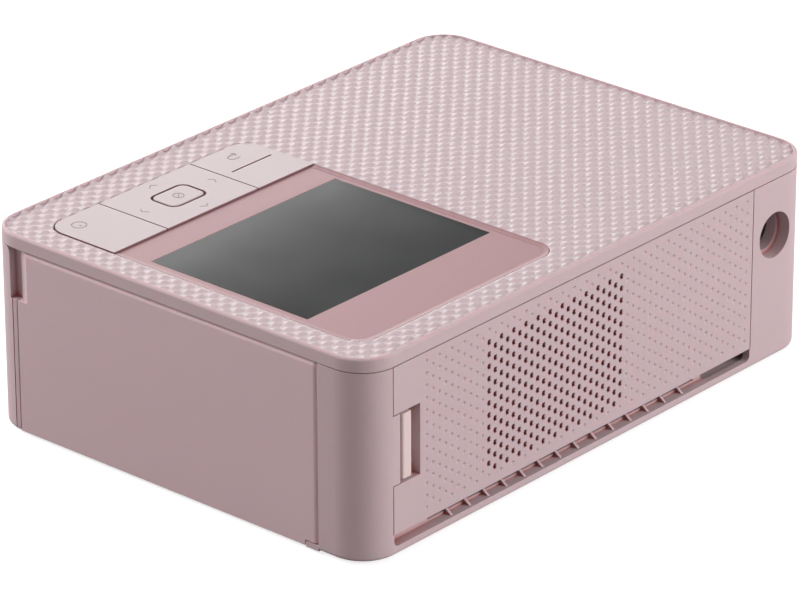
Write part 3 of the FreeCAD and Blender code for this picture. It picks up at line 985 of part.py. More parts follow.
def make_rollers():
    piece(turned("platen_shaft", journals("platen_core", "journal_radius"), "platen_y", "platen_z"),
          "platen_shaft")
    sleeve = [("bay_x0 + roller_end", "platen_core"), ("bay_x1 - roller_end", "platen_core"),
              ("bay_x1 - roller_end", "platen_radius"), ("bay_x0 + roller_end", "platen_radius")]
    piece(turned("platen_rubber", sleeve, "platen_y", "platen_z"), "platen_rubber")
    piece(turned("grip_roller", journals("grip_radius", "journal_radius"), "grip_y", "grip_z"), "grip_roller")
    ends = ("left_x - pinch_reach / 2", "right_x + pinch_reach")
    pinch = [(ends[0], "0"), (ends[1], "0"), (ends[1], "pinch_journal"),
             ("bay_x1 - roller_end", "pinch_journal"), ("bay_x1 - roller_end", "pinch_radius"),
             ("bay_x0 + roller_end", "pinch_radius"), ("bay_x0 + roller_end", "pinch_journal"),
             (ends[0], "pinch_journal")]
    piece(turned("pinch_roller", pinch, "grip_y", "pinch_z"), "pinch_roller")
    bushes = []
    for label, y, z in (("platen", "platen_y", "platen_z"), ("grip", "grip_y", "grip_z")):
        left = [("left_x", "journal_radius + journal_fit"), ("bay_x0 + bush_flange_length",
                "journal_radius + journal_fit"), ("bay_x0 + bush_flange_length", "bush_flange"),
                ("bay_x0", "bush_flange"), ("bay_x0", "bush_radius"), ("left_x", "bush_radius")]
        right = [("bay_x1 - bush_flange_length", "journal_radius + journal_fit"),
                 ("right_x", "journal_radius + journal_fit"), ("right_x", "bush_radius"),
                 ("bay_x1", "bush_radius"), ("bay_x1", "bush_flange"),
                 ("bay_x1 - bush_flange_length", "bush_flange")]
        bushes += [turned(f"{label}_bush_left", left, y, z), turned(f"{label}_bush_right", right, y, z)]
    piece(group("roller_bushes", bushes), "roller_bushes")


def gear(name, teeth, y, z, bore, turn="0"):
    """A spur gear on the X axis: a disc to the root circle and one tapered tooth, repeated."""
    body = new_body(name)
    low, high = "gear_x0", "gear_x1"
    root = f"gear_module * ({teeth} / 2 - {TOOTH_SHARES['depth']})"
    tip = f"gear_module * ({teeth} / 2 + 1)"
    disc = boss(body, "YZ", name + "_disc", [("0", "0", root)], low, high)
    if bore:
        draw_circle(disc.Profile[0], "0", "0", bore)
    half_root = f"gear_module * {TOOTH_SHARES['root']}"
    half_tip = f"gear_module * {TOOTH_SHARES['tip']}"
    foot = f"{root} - gear_module / 2"
    tooth = pad(body, "YZ", name + "_tooth",
                [(f"-{half_root}", foot), (half_root, foot), (half_root, root), (half_tip, tip),
                 (f"-{half_tip}", tip), (f"-{half_root}", root)], low, high)
    around(body, tooth, name + "_teeth", "X_Axis", teeth)
    body.Placement = Placement(Vector(), Rotation(Vector(1, 0, 0), value(turn)))
    body.setExpression("Placement.Rotation.Angle", bound(turn))
    return set_at(body, y=y, z=z)


def make_gears():
    piece(gear("grip_gear", "grip_teeth", "grip_y", "grip_z", "journal_radius"), "grip_gear")
    piece(gear("platen_gear", "platen_teeth", "platen_y", "platen_z", "journal_radius", "platen_turn"),
          "platen_gear")
    axle = "bore_radius + journal_fit"
    piece(gear("platen_idler_gear", "platen_idler_teeth", "idler_y", "idler_z", axle, "idler_turn"),
          "platen_idler_gear")
    piece(gear("feed_idler_gear", "feed_idler_teeth", "feed_y", "feed_z", axle, "feed_turn"),
          "feed_idler_gear")
    axles = [rod(f"idler_axle_{i}", "x", spot, "bore_radius", "gear_plate_x", "left_x")
             for i, spot in enumerate([("idler_y", "idler_z"), ("feed_y", "feed_z")])]
    piece(group("idler_axles", axles), "idler_axles")
    for label, y, z, turn in (("feed", "pinion_y", "pinion_z", "pinion_turn"),
                              ("ribbon", "ribbon_y", "ribbon_z", "ribbon_turn")):
        wheel = gear(f"{label}_pinion_wheel", f"{label}_pinion_teeth", y, z, None, turn)
        shaft = rod(f"{label}_pinion_shaft", "x", (y, z), "bore_radius",
                    "gear_plate_x - motor_bore + clearance", "gear_x0")
        piece(fuse(f"{label}_pinion", [wheel, shaft]), f"{label}_pinion")
    piece(gear("take_up_gear", "take_up_teeth", "take_up_y", "spindle_z", "journal_radius"), "take_up_gear")


def make_motors():
    for label, y, z in (("feed", "pinion_y", "pinion_z"), ("ribbon", "ribbon_y", "ribbon_z")):
        can = rod(f"{label}_motor_can", "x", (y, z), f"{label}_motor_radius", "motor_x", "gear_plate_x")
        pilot = rod(f"{label}_motor_pilot", "x", (y, z), "motor_pilot - motor_pilot_gap", "gear_plate_x",
                    "gear_plate_x + sheet_steel")
        bore = rod(f"{label}_motor_bore", "x", (y, z), "bore_radius + journal_fit",
                   "gear_plate_x - motor_bore", "gear_plate_x + overrun")
        solid = fuse(f"{label}_motor_body", [can, pilot])
        piece(cut(f"{label}_motor", solid, [bore]), f"{label}_motor")


def spindle(name, y, tail):
    """A ribbon hub with drive dogs; its journal runs through the left side plate."""
    body = new_body(name)
    hub_end = "bay_x0 + plate_play + hub_length"
    boss(body, "YZ", name + "_journal", [("0", "0", "journal_radius")], tail, "bay_x0 + plate_play")
    boss(body, "YZ", name + "_hub", [("0", "0", "hub_radius")], "bay_x0 + plate_play", hub_end)
    dress(body, "Chamfer", name + "_lead", "dog_height / 2", flat_at(hub_end, "x"))
    dog = pad(body, "YZ", name + "_dog",
              rectangle(("-dog_thickness / 2", "dog_thickness / 2"),
                        ("hub_radius - dog_height / 2", "hub_radius + dog_height")),
              "bay_x0 + plate_play", f"{hub_end} - dog_height")
    around(body, dog, name + "_dogs", "X_Axis", "dogs")
    return set_at(body, y=y, z="spindle_z")


def make_spindles():
    piece(spindle("take_up_spindle", "take_up_y", "gear_x0"), "take_up_spindle")
    hub = spindle("supply_spindle_hub", "supply_y", "left_x - plate_play - disc_thickness")
    disc = rod("supply_disc", "x", ("supply_y", "spindle_z"), "disc_radius",
               "left_x - plate_play - disc_thickness", "left_x - plate_play")
    piece(fuse("supply_spindle", [hub, disc]), "supply_spindle")


def make_print_head():
    """A folded arm hangs on a cross shaft and holds the finned heat sink and the thermal head."""
    ends = ("bay_x0 + arm_end", "bay_x1 - arm_end")
    plate = box("arm_plate", ends, ("head_y - arm_front", "pivot_y + arm_tail"), ("arm_z0", "arm_z1"))
    ears = []
    sides = ((ends[0], f"{ends[0]} + sheet_steel"), (f"{ends[1]} - sheet_steel", ends[1]))
    for i, (low, high) in enumerate(sides):
        tab = box(f"arm_ear_{i}", (low, high), ("pivot_y - ear_radius", "pivot_y + ear_radius"),
                  ("pivot_z", "arm_z0"))
        round_end = rod(f"arm_ear_round_{i}", "x", ("pivot_y", "pivot_z"), "ear_radius", low, high)
        ears += [tab, round_end]
    bores = [rod("arm_bore", "x", ("pivot_y", "pivot_z"), "pivot_radius + journal_fit",
                 "bay_x0", "bay_x1")]
    piece(cut("head_arm", fuse("arm_body", [plate] + ears), bores), "head_arm")
    piece(rod("head_pivot_shaft", "x", ("pivot_y", "pivot_z"), "pivot_radius", "left_x", "right_x"),
          "head_pivot_shaft")
    span = ("bay_x0 + head_end", "bay_x1 - head_end")
    sink = new_body("head_heat_sink")
    pad(sink, "YZ", "sink_section",
        [("head_y - sink_width / 2", "sink_z"), ("head_y + sink_width / 2", "sink_z"),
         ("head_y + sink_width / 2", "sink_z + sink_base"), ("head_y + fin_stem / 2", "sink_z + sink_base"),
         ("head_y + fin_stem / 2", "arm_z0"), ("head_y - fin_stem / 2", "arm_z0"),
         ("head_y - fin_stem / 2", "sink_z + sink_base"), ("head_y - sink_width / 2", "sink_z + sink_base")],
        span[0], span[1])
    fin = pad(sink, "YZ", "sink_fin",
              rectangle(("head_y - sink_width / 2", "head_y + sink_width / 2"),
                        ("sink_z + sink_base / 2", "arm_z0 - fin_stem")),
              span[0], f"{span[0]} + fin_thickness")
    row = sink.newObject("PartDesign::LinearPattern", "sink_fins")
    row.Originals = [fin]
    row.Direction = (next(f for f in sink.Origin.OriginFeatures if f.Role == "X_Axis"), [""])
    fins = f"floor(({span[1]} - ({span[0]}) - fin_thickness) / fin_pitch)"
    row.setExpression("Length", bound(f"{fins} * fin_pitch"))
    row.setExpression("Occurrences", bound(f"{fins} + 1"))
    sink.Tip = row
    piece(sink, "head_heat_sink")
    head = box("thermal_head", span, ("head_y - head_board_width / 2", "head_y + head_board_width / 2"),
               ("head_z", "sink_z"))
    piece(head, "thermal_head")


def make_pick_up():
    shaft = rod("pick_up_shaft", "x", ("pick_shaft_y", "pick_shaft_z"), "pick_shaft_radius",
                "left_x", "right_x")
    piece(shaft, "pick_up_shaft")
    half = "pick_width / 2 + clearance + pick_arm"
    cheeks = []
    for i, low in enumerate((f"bay_x - ({half})", "bay_x + pick_width / 2 + clearance")):
        cheek = new_body(f"pick_cheek_{i}")
        pad(cheek, "YZ", f"pick_cheek_{i}_sheet",
            [("pick_y", "pick_z - pick_ear"), ("pick_shaft_y", "pick_shaft_z - pick_ear"),
             ("pick_shaft_y + pick_ear", "pick_shaft_z"), ("pick_shaft_y", "pick_shaft_z + pick_ear"),
             ("pick_y", "pick_z + pick_ear"), ("pick_y - pick_ear", "pick_z")],
            low, f"{low} + pick_arm",
            [("pick_shaft_y", "pick_shaft_z", "pick_shaft_radius + journal_fit"),
             ("pick_y", "pick_z", "pick_journal + journal_fit")])
        cheeks.append(cheek)
    web = box("pick_web", (f"bay_x - ({half})", f"bay_x + {half}"),
              ("pick_shaft_y - pick_arm * 2", "pick_shaft_y - pick_arm"),
              ("pick_shaft_z - pick_arm * 3 / 2", "pick_shaft_z"))
    piece(fuse("pick_up_arm", cheeks + [web]), "pick_up_arm")
    journal = [(f"-({half})", "0"), (half, "0"), (half, "pick_journal"), ("pick_width / 2", "pick_journal"),
               ("pick_width / 2", "pick_radius"), ("-pick_width / 2", "pick_radius"),
               ("-pick_width / 2", "pick_journal"), (f"-({half})", "pick_journal")]
    piece(turned("pick_up_roller", journal, "pick_y", "pick_z", "bay_x"), "pick_up_roller")


def make_eject_lever():
    """A flat lever on the outside of the right side plate, with a thumb tab towards the door."""
    y, z = "unit_y0 + lever_pivot_y", "floor_z + lever_pivot_z"
    low = "right_x + plate_play"
    high = f"{low} + lever_thickness"
    hub = rod("lever_hub", "x", (y, z), "lever_radius", low, high)
    stem = box("lever_stem", (low, high), (f"{y} - lever_radius / 2", f"{y} + lever_radius / 2"),
               (z, f"{z} + lever_length"))
    thumb = box("lever_thumb", (low, f"{low} + thumb_length"),
                (f"{y} - thumb_width / 2", f"{y} + thumb_width / 2"),
                (f"{z} + lever_length", f"{z} + lever_length + lever_thickness"))
    bore = rod("lever_bore", "x", (y, z), "lever_pin + journal_fit", f"{low} - overrun", f"{high} + overrun")
    piece(cut("cassette_eject_lever", fuse("lever_body", [hub, stem, thumb]), [bore]), "cassette_eject_lever")
    head = rod("lever_pin_head", "x", (y, z), "lever_radius", f"{high} + plate_play",
               f"{high} + plate_play + sheet_steel")
    shank = rod("lever_pin_shank", "x", (y, z), "lever_pin", "bay_x1", f"{high} + plate_play")
    piece(fuse("lever_pin_rivet", [shank, head]), "lever_pin_rivet")


def make_fan():
    """A square frame with a spider and a bladed rotor that blows out through the vents."""
    frame = new_body("fan_frame")
    half = "fan_side / 2"
    front, back = "fan_y", "fan_y + fan_depth"
    square = rectangle((f"fan_x - {half}", f"fan_x + {half}"), (f"fan_z - {half}", f"fan_z + {half}"),
                       "fan_spoke")
    pad(frame, "XZ", "fan_ring", square, front, back, [("fan_x", "fan_z", "fan_bore")])
    for label, wide, tall in (("cross", "fan_bore + fan_back", "fan_spoke / 2"),
                              ("post", "fan_spoke / 2", "fan_bore + fan_back")):
        pad(frame, "XZ", f"fan_{label}",
            rectangle((f"fan_x - ({wide})", f"fan_x + {wide}"), (f"fan_z - ({tall})", f"fan_z + {tall}")),
            front, f"{front} + fan_back")
    boss(frame, "XZ", "fan_hub_plate", [("fan_x", "fan_z", "fan_hub")], front, f"{front} + fan_back")
    boss(frame, "XZ", "fan_pin", [("fan_x", "fan_z", "fan_axle")], f"{front} + fan_back",
         f"{back} - fan_back - clearance")
    piece(frame, "fan_frame")
    rotor = new_body("fan_rotor")
    low, high = "fan_back + clearance", "fan_depth - clearance"
    hub = boss(rotor, "XZ", "rotor_hub", [("0", "0", "fan_hub")], low, high)
    pocket(rotor, "XZ", "rotor_bore", None, "fan_back", "fan_depth - fan_back",
           [("0", "0", "fan_axle + journal_fit")])
    blade = pad(rotor, "XZ", "rotor_blade",
                [("-fan_blade / 2", "fan_hub - fan_blade"), ("fan_blade / 2", "fan_hub - fan_blade"),
                 ("fan_blade_length / 2 + fan_blade / 2", "fan_tip - fan_blade"),
                 ("fan_blade_length / 2 - fan_blade / 2", "fan_tip - fan_blade / 2")], low, high)
    around(rotor, blade, "rotor_blades", "Y_Axis", "fan_blades")
    piece(set_at(rotor, x="fan_x", y="fan_y", z="fan_z"), "fan_rotor")


def write_parts():
    os.makedirs("parts", exist_ok=True)
    doc.recompute()
    for item in doc.Objects:
        if "Invalid" in item.State or "Error" in item.State:
            raise RuntimeError(f"{item.Name} failed: {item.State}")
        if item.TypeId == "PartDesign::Pocket" and item.Shape.Volume >= item.BaseFeature.Shape.Volume:
            raise RuntimeError(f"{item.Name} cuts nothing")
    for item in PIECES:
        if item.Shape.isNull() or not item.Shape.isValid():
            raise RuntimeError(f"{item.Label} has no valid shape")
    for item in PIECES:
        item.Shape.exportStep(f"parts/{item.Label}.step")
    print(len(PIECES), "pieces written")


make_bottom_case()
make_top_cover()
make_feet_and_screws()
make_operation_panel()
make_keys()
make_ink_door()
make_paper_slot_cover()
make_rear_cover()
make_cover_latch()
make_power_inlet()
make_boards()
make_frame()
make_rollers()
make_gears()
make_motors()
make_spindles()
make_print_head()
make_pick_up()
make_eject_lever()
make_fan()
write_parts()
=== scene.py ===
import json
import math

import bpy
import numpy as np
from mathutils import Matrix, Quaternion, Vector
from mathutils.geometry import tessellate_polygon


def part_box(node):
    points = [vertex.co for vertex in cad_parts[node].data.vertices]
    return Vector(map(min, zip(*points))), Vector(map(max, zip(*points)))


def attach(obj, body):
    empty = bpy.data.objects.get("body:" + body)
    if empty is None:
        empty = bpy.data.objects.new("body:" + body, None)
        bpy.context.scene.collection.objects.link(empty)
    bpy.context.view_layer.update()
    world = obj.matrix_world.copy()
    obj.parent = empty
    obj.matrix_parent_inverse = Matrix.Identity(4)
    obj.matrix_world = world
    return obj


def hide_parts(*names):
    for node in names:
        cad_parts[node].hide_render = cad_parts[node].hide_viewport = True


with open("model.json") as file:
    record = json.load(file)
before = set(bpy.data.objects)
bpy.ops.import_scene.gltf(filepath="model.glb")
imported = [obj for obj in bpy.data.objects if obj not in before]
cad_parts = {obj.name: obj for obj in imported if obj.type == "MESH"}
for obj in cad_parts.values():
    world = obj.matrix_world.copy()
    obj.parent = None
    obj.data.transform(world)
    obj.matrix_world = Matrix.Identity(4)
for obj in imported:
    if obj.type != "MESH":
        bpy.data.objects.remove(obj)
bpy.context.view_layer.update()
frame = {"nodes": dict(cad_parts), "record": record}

# Compact photo printer. Lengths are in millimetres and become metres where a mesh or a lamp is made.
MM = 0.001
NODES = frame["nodes"]


def box_mm(node):
    low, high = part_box(node)
    return np.array(low) / MM, np.array(high) / MM


LID_LOW, LID_HIGH = box_mm("top_cover")
COVER_HIGH = box_mm("rear_cover")[1]
BEZEL_LOW, BEZEL_HIGH = box_mm("display_bezel")
POWER_LOW, POWER_HIGH = box_mm("power_key")
PRINT_LOW, PRINT_HIGH = box_mm("print_back_key")
NAV_LOW, NAV_HIGH = box_mm("nav_plate")
OK_LOW, OK_HIGH = box_mm("ok_key")
GLASS_LOW, GLASS_HIGH = box_mm("lcd_window")

# The lid's outline, the depth of its field and the panel cut out of it, as part.py makes them. The relief
# runs on over the rim, which is pared down to the field for it.
CORNER_ROUND, FIELD_DEPTH = 10.5, 1.0
RELIEF_EDGE, RELIEF_FADE = 0.15, 0.45
PANEL_ROUND, PANEL_GAP, KEY_GAP = 6.5, 0.15, 0.4
FIELD_Z = LID_HIGH[2] - FIELD_DEPTH
PANEL_LOW = np.array([BEZEL_LOW[0] - PANEL_GAP, POWER_LOW[1] - KEY_GAP])
PANEL_HIGH = np.array([BEZEL_HIGH[0] + PANEL_GAP, BEZEL_HIGH[1] + PANEL_GAP])
FIELD_LOW, FIELD_HIGH = LID_LOW[:2] + RELIEF_EDGE, LID_HIGH[:2] - RELIEF_EDGE
FIELD_ROUND = CORNER_ROUND - RELIEF_EDGE
# How far the ring cut from the rim reaches in and out of the lid's outline; then its rounded underside, each
# point an offset inwards from the outline and a depth under the field.
RIM_CUT_IN, RIM_CUT_OUT = 1.5, 1.0
RIM_ROUND = [(1.5, 0.1), (0.7, 0.1), (0.4, 0.17), (0.15, 0.35), (0.02, 0.65), (0.0, 0.95), (-1.0, 1.0)]

# The moulded diamonds of the lid, measured in the rectified photograph: pitches, height, grid steps to each.
# Their valleys lie a little over the field, and the sheet's underside lies in it.
DIAMOND_X, DIAMOND_Y, DIAMOND_RISE, DIAMOND_STEPS = 5.218, 4.317, 0.76, 7
DIAMOND_FIRST = np.array([0.05, -0.3])
DIAMOND_BASE, DIAMOND_SINK, DIAMOND_SQUARENESS = 0.24, 0.2, 3
# The run over which the slope of the outline's distance is measured.
SLOPE_RUN = 0.01

# The lattice of vents in the rear cover; the blind dimples carry it on, inside limits of their own. A dimple
# and the flared mouth of a vent each have a width, a height and a depth.
VENT_X, VENT_Z, VENT_INSET, VENT_TOP = 2.42, 3.43, 36.8, 5.95
VENT_COLUMNS, VENT_ROWS = 23, 11
LATTICE_COLUMNS, LATTICE_ROWS = (-12, 48), (-3, 14)
DIMPLE_SIZE, FLARE_SIZE, PIT_PROUD = (1.6, 1.4, 0.4), (2.0, 1.7, 0.6), 0.1
DIMPLE_RIGHT, DIMPLE_LEFT, DIMPLE_LOW, DIMPLE_HIGH = 69.0, -63.5, 9.2, 51.8
# Points of a CAD mesh nearer than this are one point.
WELD_REACH = 0.001

# The key caps come down to be nearly flush with the display's surround: how far, and how far below the
# surround's face a point may lie to belong to a cap.
CAP_DROP, CAP_MARGIN = 0.3, 0.1
# The printed signs on the caps. Chevrons have a place from the plate's middle and a turn in degrees; the
# other signs have a place on their key, and strokes about that place. A ring has its first and last angle and
# its number of points.
INK_WIDTH, INK_THICK, INK_SINK = 0.32, 0.04, 0.02
CHEVRON_HALF, CHEVRON_RISE = 1.5, 1.2
CHEVRONS = (((0, 9.6), 90), ((0, -9.8), 270), ((-13.6, -0.2), 180), ((13.4, -0.2), 0))
SIGN_RING = (0, 345, 24)
STANDBY_PLACE, STANDBY_RADIUS, STANDBY_BAR = (-6.7, 5.8), 2.0, ((0, 0.2), (0, 1.1))
RETURN_PLACE, RETURN_RADIUS, RETURN_CENTRE, RETURN_BEND = (10.6, 5.8), 1.2, (0.8, 0), (90, -90, 9)
RETURN_START, RETURN_END = (-1.2, 1.2), (-1.6, -1.2)
RETURN_HEAD = ((-0.8, -0.2), (-1.8, -1.2), (-0.8, -2.2))
OK_RADIUS, OK_STROKE = 1.5, ((-0.7, -0.7), (0.7, 0.7))
# Points along the lid's and the panel's rounded corners, and the least share of a run's normal in a bend's.
LID_ARC, PANEL_ARC, LEAST_LEAN = 16, 10, 0.5

# The hollow fillet round the display's surround.
COVE_WIDE, COVE_LOW, COVE_SINK, COVE_STEPS, COVE_GAP = 1.7, 0.05, 0.02, 6, 0.02


# Materials


def srgb(code):
    """An sRGB hex value as linear colour: c / 12.92 when dark, else ((c + 0.055) / 1.055) to the power 2.4"""
    c = np.array([int(code[i:i + 2], 16) for i in (1, 3, 5)]) / 255
    return (*np.where(c <= 0.04045, c / 12.92, ((c + 0.055) / 1.055) ** 2.4), 1.0)


def add(tree, kind, settings=None, links=None):
    """Adds one node; settings are its own properties or its sockets' values, links its sockets' sources."""
    node = tree.nodes.new("ShaderNode" + kind)
    for key, setting in (settings or {}).items():
        if isinstance(key, str) and hasattr(node, key):
            setattr(node, key, setting)
        else:
            node.inputs[key].default_value = setting
    for key, source in (links or {}).items():
        tree.links.new(source, node.inputs[key])
    return node


def per_mm(size):
    """The scale of a texture whose features are this many millimetres apart."""
    return 1 / (size * MM)


def new_material(name):
    material = bpy.data.materials.new(name)
    material.use_nodes = True
    material.node_tree.nodes.clear()
    return material, material.node_tree


def close(tree, shader):
    add(tree, "OutputMaterial", None, {"Surface": shader.outputs[0]})


# Lengths in millimetres: the drift of a plastic's tint, and how near the walls of a hollow must be for the
# hollow to get its painted shade. Then the share of sky that counts as hollow and as open, and the upward
# lean of a cap's top; its sides, leaning less, get the painted side shade.
TINT_DRIFT, HOLLOW_REACH = 60, 8
HOLLOW_SKY, OPEN_SKY = 0.3, 0.75
SIDE_LEAN, TOP_LEAN = 0.3, 0.7
# How far red, green and blue light spread inside pink plastic, and that spread in millimetres.
SOFT_REACH, SOFT_SCALE = (1.0, 0.3, 0.26), 0.8
PLASTIC_IOR, PLASTIC_SWING, LACQUER_ROUGH = 1.5, 0.05, 0.25


def moulded_plastic(name, tint, shade, rough, grain, grain_height, edge, coat=0.0, glow=0.0, side_shade=None,
                    hollow_shade=None, shine=0.5):
    """Injection-moulded plastic: two near tints drift over the part, its skin has the tool's eroded grain,
    and its edges are softened as a mould leaves them. A cap's sides get a darker painted shade, and deep
    hollows a richer painted shade that stands in for the light bouncing about in them."""
    material, tree = new_material(name)
    place = add(tree, "TexCoord").outputs["Object"]
    drift = add(tree, "TexNoise", {"Scale": per_mm(TINT_DRIFT), "Detail": 2.0}, {"Vector": place})
    colour = add(tree, "Mix", {"data_type": "RGBA", 6: srgb(tint), 7: srgb(shade)}, {0: drift.outputs["Fac"]})
    # Painted shade: the sides of a cap, leaning less than its top, take the darker side tint.
    if side_shade:
        facing = add(tree, "SeparateXYZ", None, {"Vector": add(tree, "NewGeometry").outputs["True Normal"]})
        on_top = add(tree, "MapRange", {"From Min": SIDE_LEAN, "From Max": TOP_LEAN},
                     {"Value": facing.outputs["Z"]})
        colour = add(tree, "Mix", {"data_type": "RGBA", 6: srgb(side_shade)},
                     {0: on_top.outputs[0], 7: colour.outputs[2]})
    # Painted shade: where little sky is open within reach, a hollow takes the richer tint in place of light
    # bouncing in it.
    if hollow_shade:
        sky = add(tree, "AmbientOcclusion", {"samples": 8, "only_local": True, "Distance": HOLLOW_REACH * MM})
        shallow = add(tree, "MapRange", {"From Min": HOLLOW_SKY, "From Max": OPEN_SKY},
                      {"Value": sky.outputs["AO"]})
        colour = add(tree, "Mix", {"data_type": "RGBA", 6: srgb(hollow_shade)},
                     {0: shallow.outputs[0], 7: colour.outputs[2]})
    skin = add(tree, "TexNoise", {"Scale": per_mm(grain), "Detail": 3.0}, {"Vector": place})
    gloss = add(tree, "MapRange", {"To Min": rough - PLASTIC_SWING, "To Max": rough + PLASTIC_SWING},
                {"Value": skin.outputs["Fac"]})
    soft = add(tree, "Bevel", {"samples": 4, "Radius": edge * MM})
    bump = add(tree, "Bump", {"Strength": 1.0, "Distance": grain_height * MM},
               {"Height": skin.outputs["Fac"], "Normal": soft.outputs[0]})
    shader = add(tree, "BsdfPrincipled",
                 {"IOR": PLASTIC_IOR, "Specular IOR Level": shine, "Coat Weight": coat,
                  "Coat Roughness": LACQUER_ROUGH, "Subsurface Weight": glow, "Subsurface Radius": SOFT_REACH,
                  "Subsurface Scale": SOFT_SCALE * MM},
                 {"Base Color": colour.outputs[2], "Roughness": gloss.outputs[0], "Normal": bump.outputs[0]})
    close(tree, shader)
    return material


# The cloudiness of a metal's tint and the depth of its lines, in millimetres.
METAL_CLOUD, LINE_DEPTH, METAL_SWING = 9, 0.02, 0.1


def sheet_metal(name, tint, shade, rough, grain, squeeze):
    """Rolled or turned metal: fine lines vary the gloss, a cloudiness the tint. The lines are stretched along
    the axes that have a small squeeze."""
    material, tree = new_material(name)
    place = add(tree, "TexCoord").outputs["Object"]
    stretched = add(tree, "Mapping", {"Scale": squeeze}, {"Vector": place})
    lines = add(tree, "TexNoise", {"Scale": per_mm(grain), "Detail": 4.0}, {"Vector": stretched.outputs[0]})
    cloud = add(tree, "TexNoise", {"Scale": per_mm(METAL_CLOUD), "Detail": 2.0}, {"Vector": place})
    colour = add(tree, "Mix", {"data_type": "RGBA", 6: srgb(tint), 7: srgb(shade)}, {0: cloud.outputs["Fac"]})
    gloss = add(tree, "MapRange", {"To Min": rough - METAL_SWING, "To Max": rough + METAL_SWING},
                {"Value": lines.outputs["Fac"]})
    bump = add(tree, "Bump", {"Strength": 0.5, "Distance": LINE_DEPTH * MM}, {"Height": lines.outputs["Fac"]})
    shader = add(tree, "BsdfPrincipled", {"Metallic": 1.0},
                 {"Base Color": colour.outputs[2], "Roughness": gloss.outputs[0], "Normal": bump.outputs[0]})
    close(tree, shader)
    return material


# The depth of rubber's unevenness in millimetres, its roughness and its sheen.
DUST_DEPTH, RUBBER_ROUGH, RUBBER_SHEEN = 0.05, 0.75, 0.1


def rubber(name, tint, shade, grain):
    """Ground or cast elastomer: dull and slightly uneven, with a soft sheen."""
    material, tree = new_material(name)
    place = add(tree, "TexCoord").outputs["Object"]
    dust = add(tree, "TexNoise", {"Scale": per_mm(grain), "Detail": 5.0}, {"Vector": place})
    colour = add(tree, "Mix", {"data_type": "RGBA", 6: srgb(tint), 7: srgb(shade)}, {0: dust.outputs["Fac"]})
    bump = add(tree, "Bump", {"Strength": 0.6, "Distance": DUST_DEPTH * MM}, {"Height": dust.outputs["Fac"]})
    shader = add(tree, "BsdfPrincipled", {"Roughness": RUBBER_ROUGH, "Sheen Weight": RUBBER_SHEEN},
                 {"Base Color": colour.outputs[2], "Normal": bump.outputs[0]})
    close(tree, shader)
    return material


# The dark border of the glass at its low and high sides and the size of a smear, in millimetres. At the high
# sides the border is the printed mask; the wide band at the low sides is painted shade, for the shaded wall
# of the window's opening seen through the glass.
GLASS_FAR_SHADE_BAND, GLASS_NEAR_BORDER, SMEAR_SIZE = 2.6, 0.3, 18
GLASS_IOR, GLASS_SMOOTH, GLASS_SMEARED = 1.52, 0.11, 0.14


def display_window():
    """The dark glass over the display: float glass, faintly smeared, with a black mask printed behind its
    border. At its low sides the border widens into a band of painted shade, for the shaded wall of the
    opening seen through the glass."""
    material, tree = new_material("display_float_glass")
    place = add(tree, "TexCoord").outputs["Object"]
    axes = add(tree, "SeparateXYZ", None, {"Vector": place})
    low, high = GLASS_LOW + GLASS_FAR_SHADE_BAND, GLASS_HIGH - GLASS_NEAR_BORDER
    middle, half = (low + high) / 2, (high - low) / 2
    reach = []
    for axis in (0, 1):
        off = add(tree, "Math", {"operation": "SUBTRACT", 1: middle[axis] * MM}, {0: axes.outputs[axis]})
        size = add(tree, "Math", {"operation": "ABSOLUTE"}, {0: off.outputs[0]})
        reach.append(add(tree, "Math", {"operation": "SUBTRACT", 1: half[axis] * MM}, {0: size.outputs[0]}))
    edge = add(tree, "Math", {"operation": "MAXIMUM"}, {0: reach[0].outputs[0], 1: reach[1].outputs[0]})
    # The printed border, widened at the low sides into the painted shade band.
    border_and_shade_band = add(tree, "Math", {"operation": "GREATER_THAN", 1: 0.0}, {0: edge.outputs[0]})
    colour = add(tree, "Mix", {"data_type": "RGBA", 6: srgb("#242626"), 7: srgb("#101413")},
                 {0: border_and_shade_band.outputs[0]})
    smear = add(tree, "TexNoise", {"Scale": per_mm(SMEAR_SIZE), "Detail": 2.0}, {"Vector": place})
    gloss = add(tree, "MapRange", {"To Min": GLASS_SMOOTH, "To Max": GLASS_SMEARED},
                {"Value": smear.outputs["Fac"]})
    shader = add(tree, "BsdfPrincipled", {"IOR": GLASS_IOR},
                 {"Base Color": colour.outputs[2], "Roughness": gloss.outputs[0]})
    close(tree, shader)
    return material


# Spacing of a board's tracks and pads and the size of a patch of pads, in millimetres; then a pad's radius as
# a share of the spacing, and the noise above which there are pads.
TRACK_SPACING, PAD_SPACING, PATCH_SIZE = 9, 2.54, 16
PAD_RADIUS, PATCH_LEVEL = 0.22, 0.54


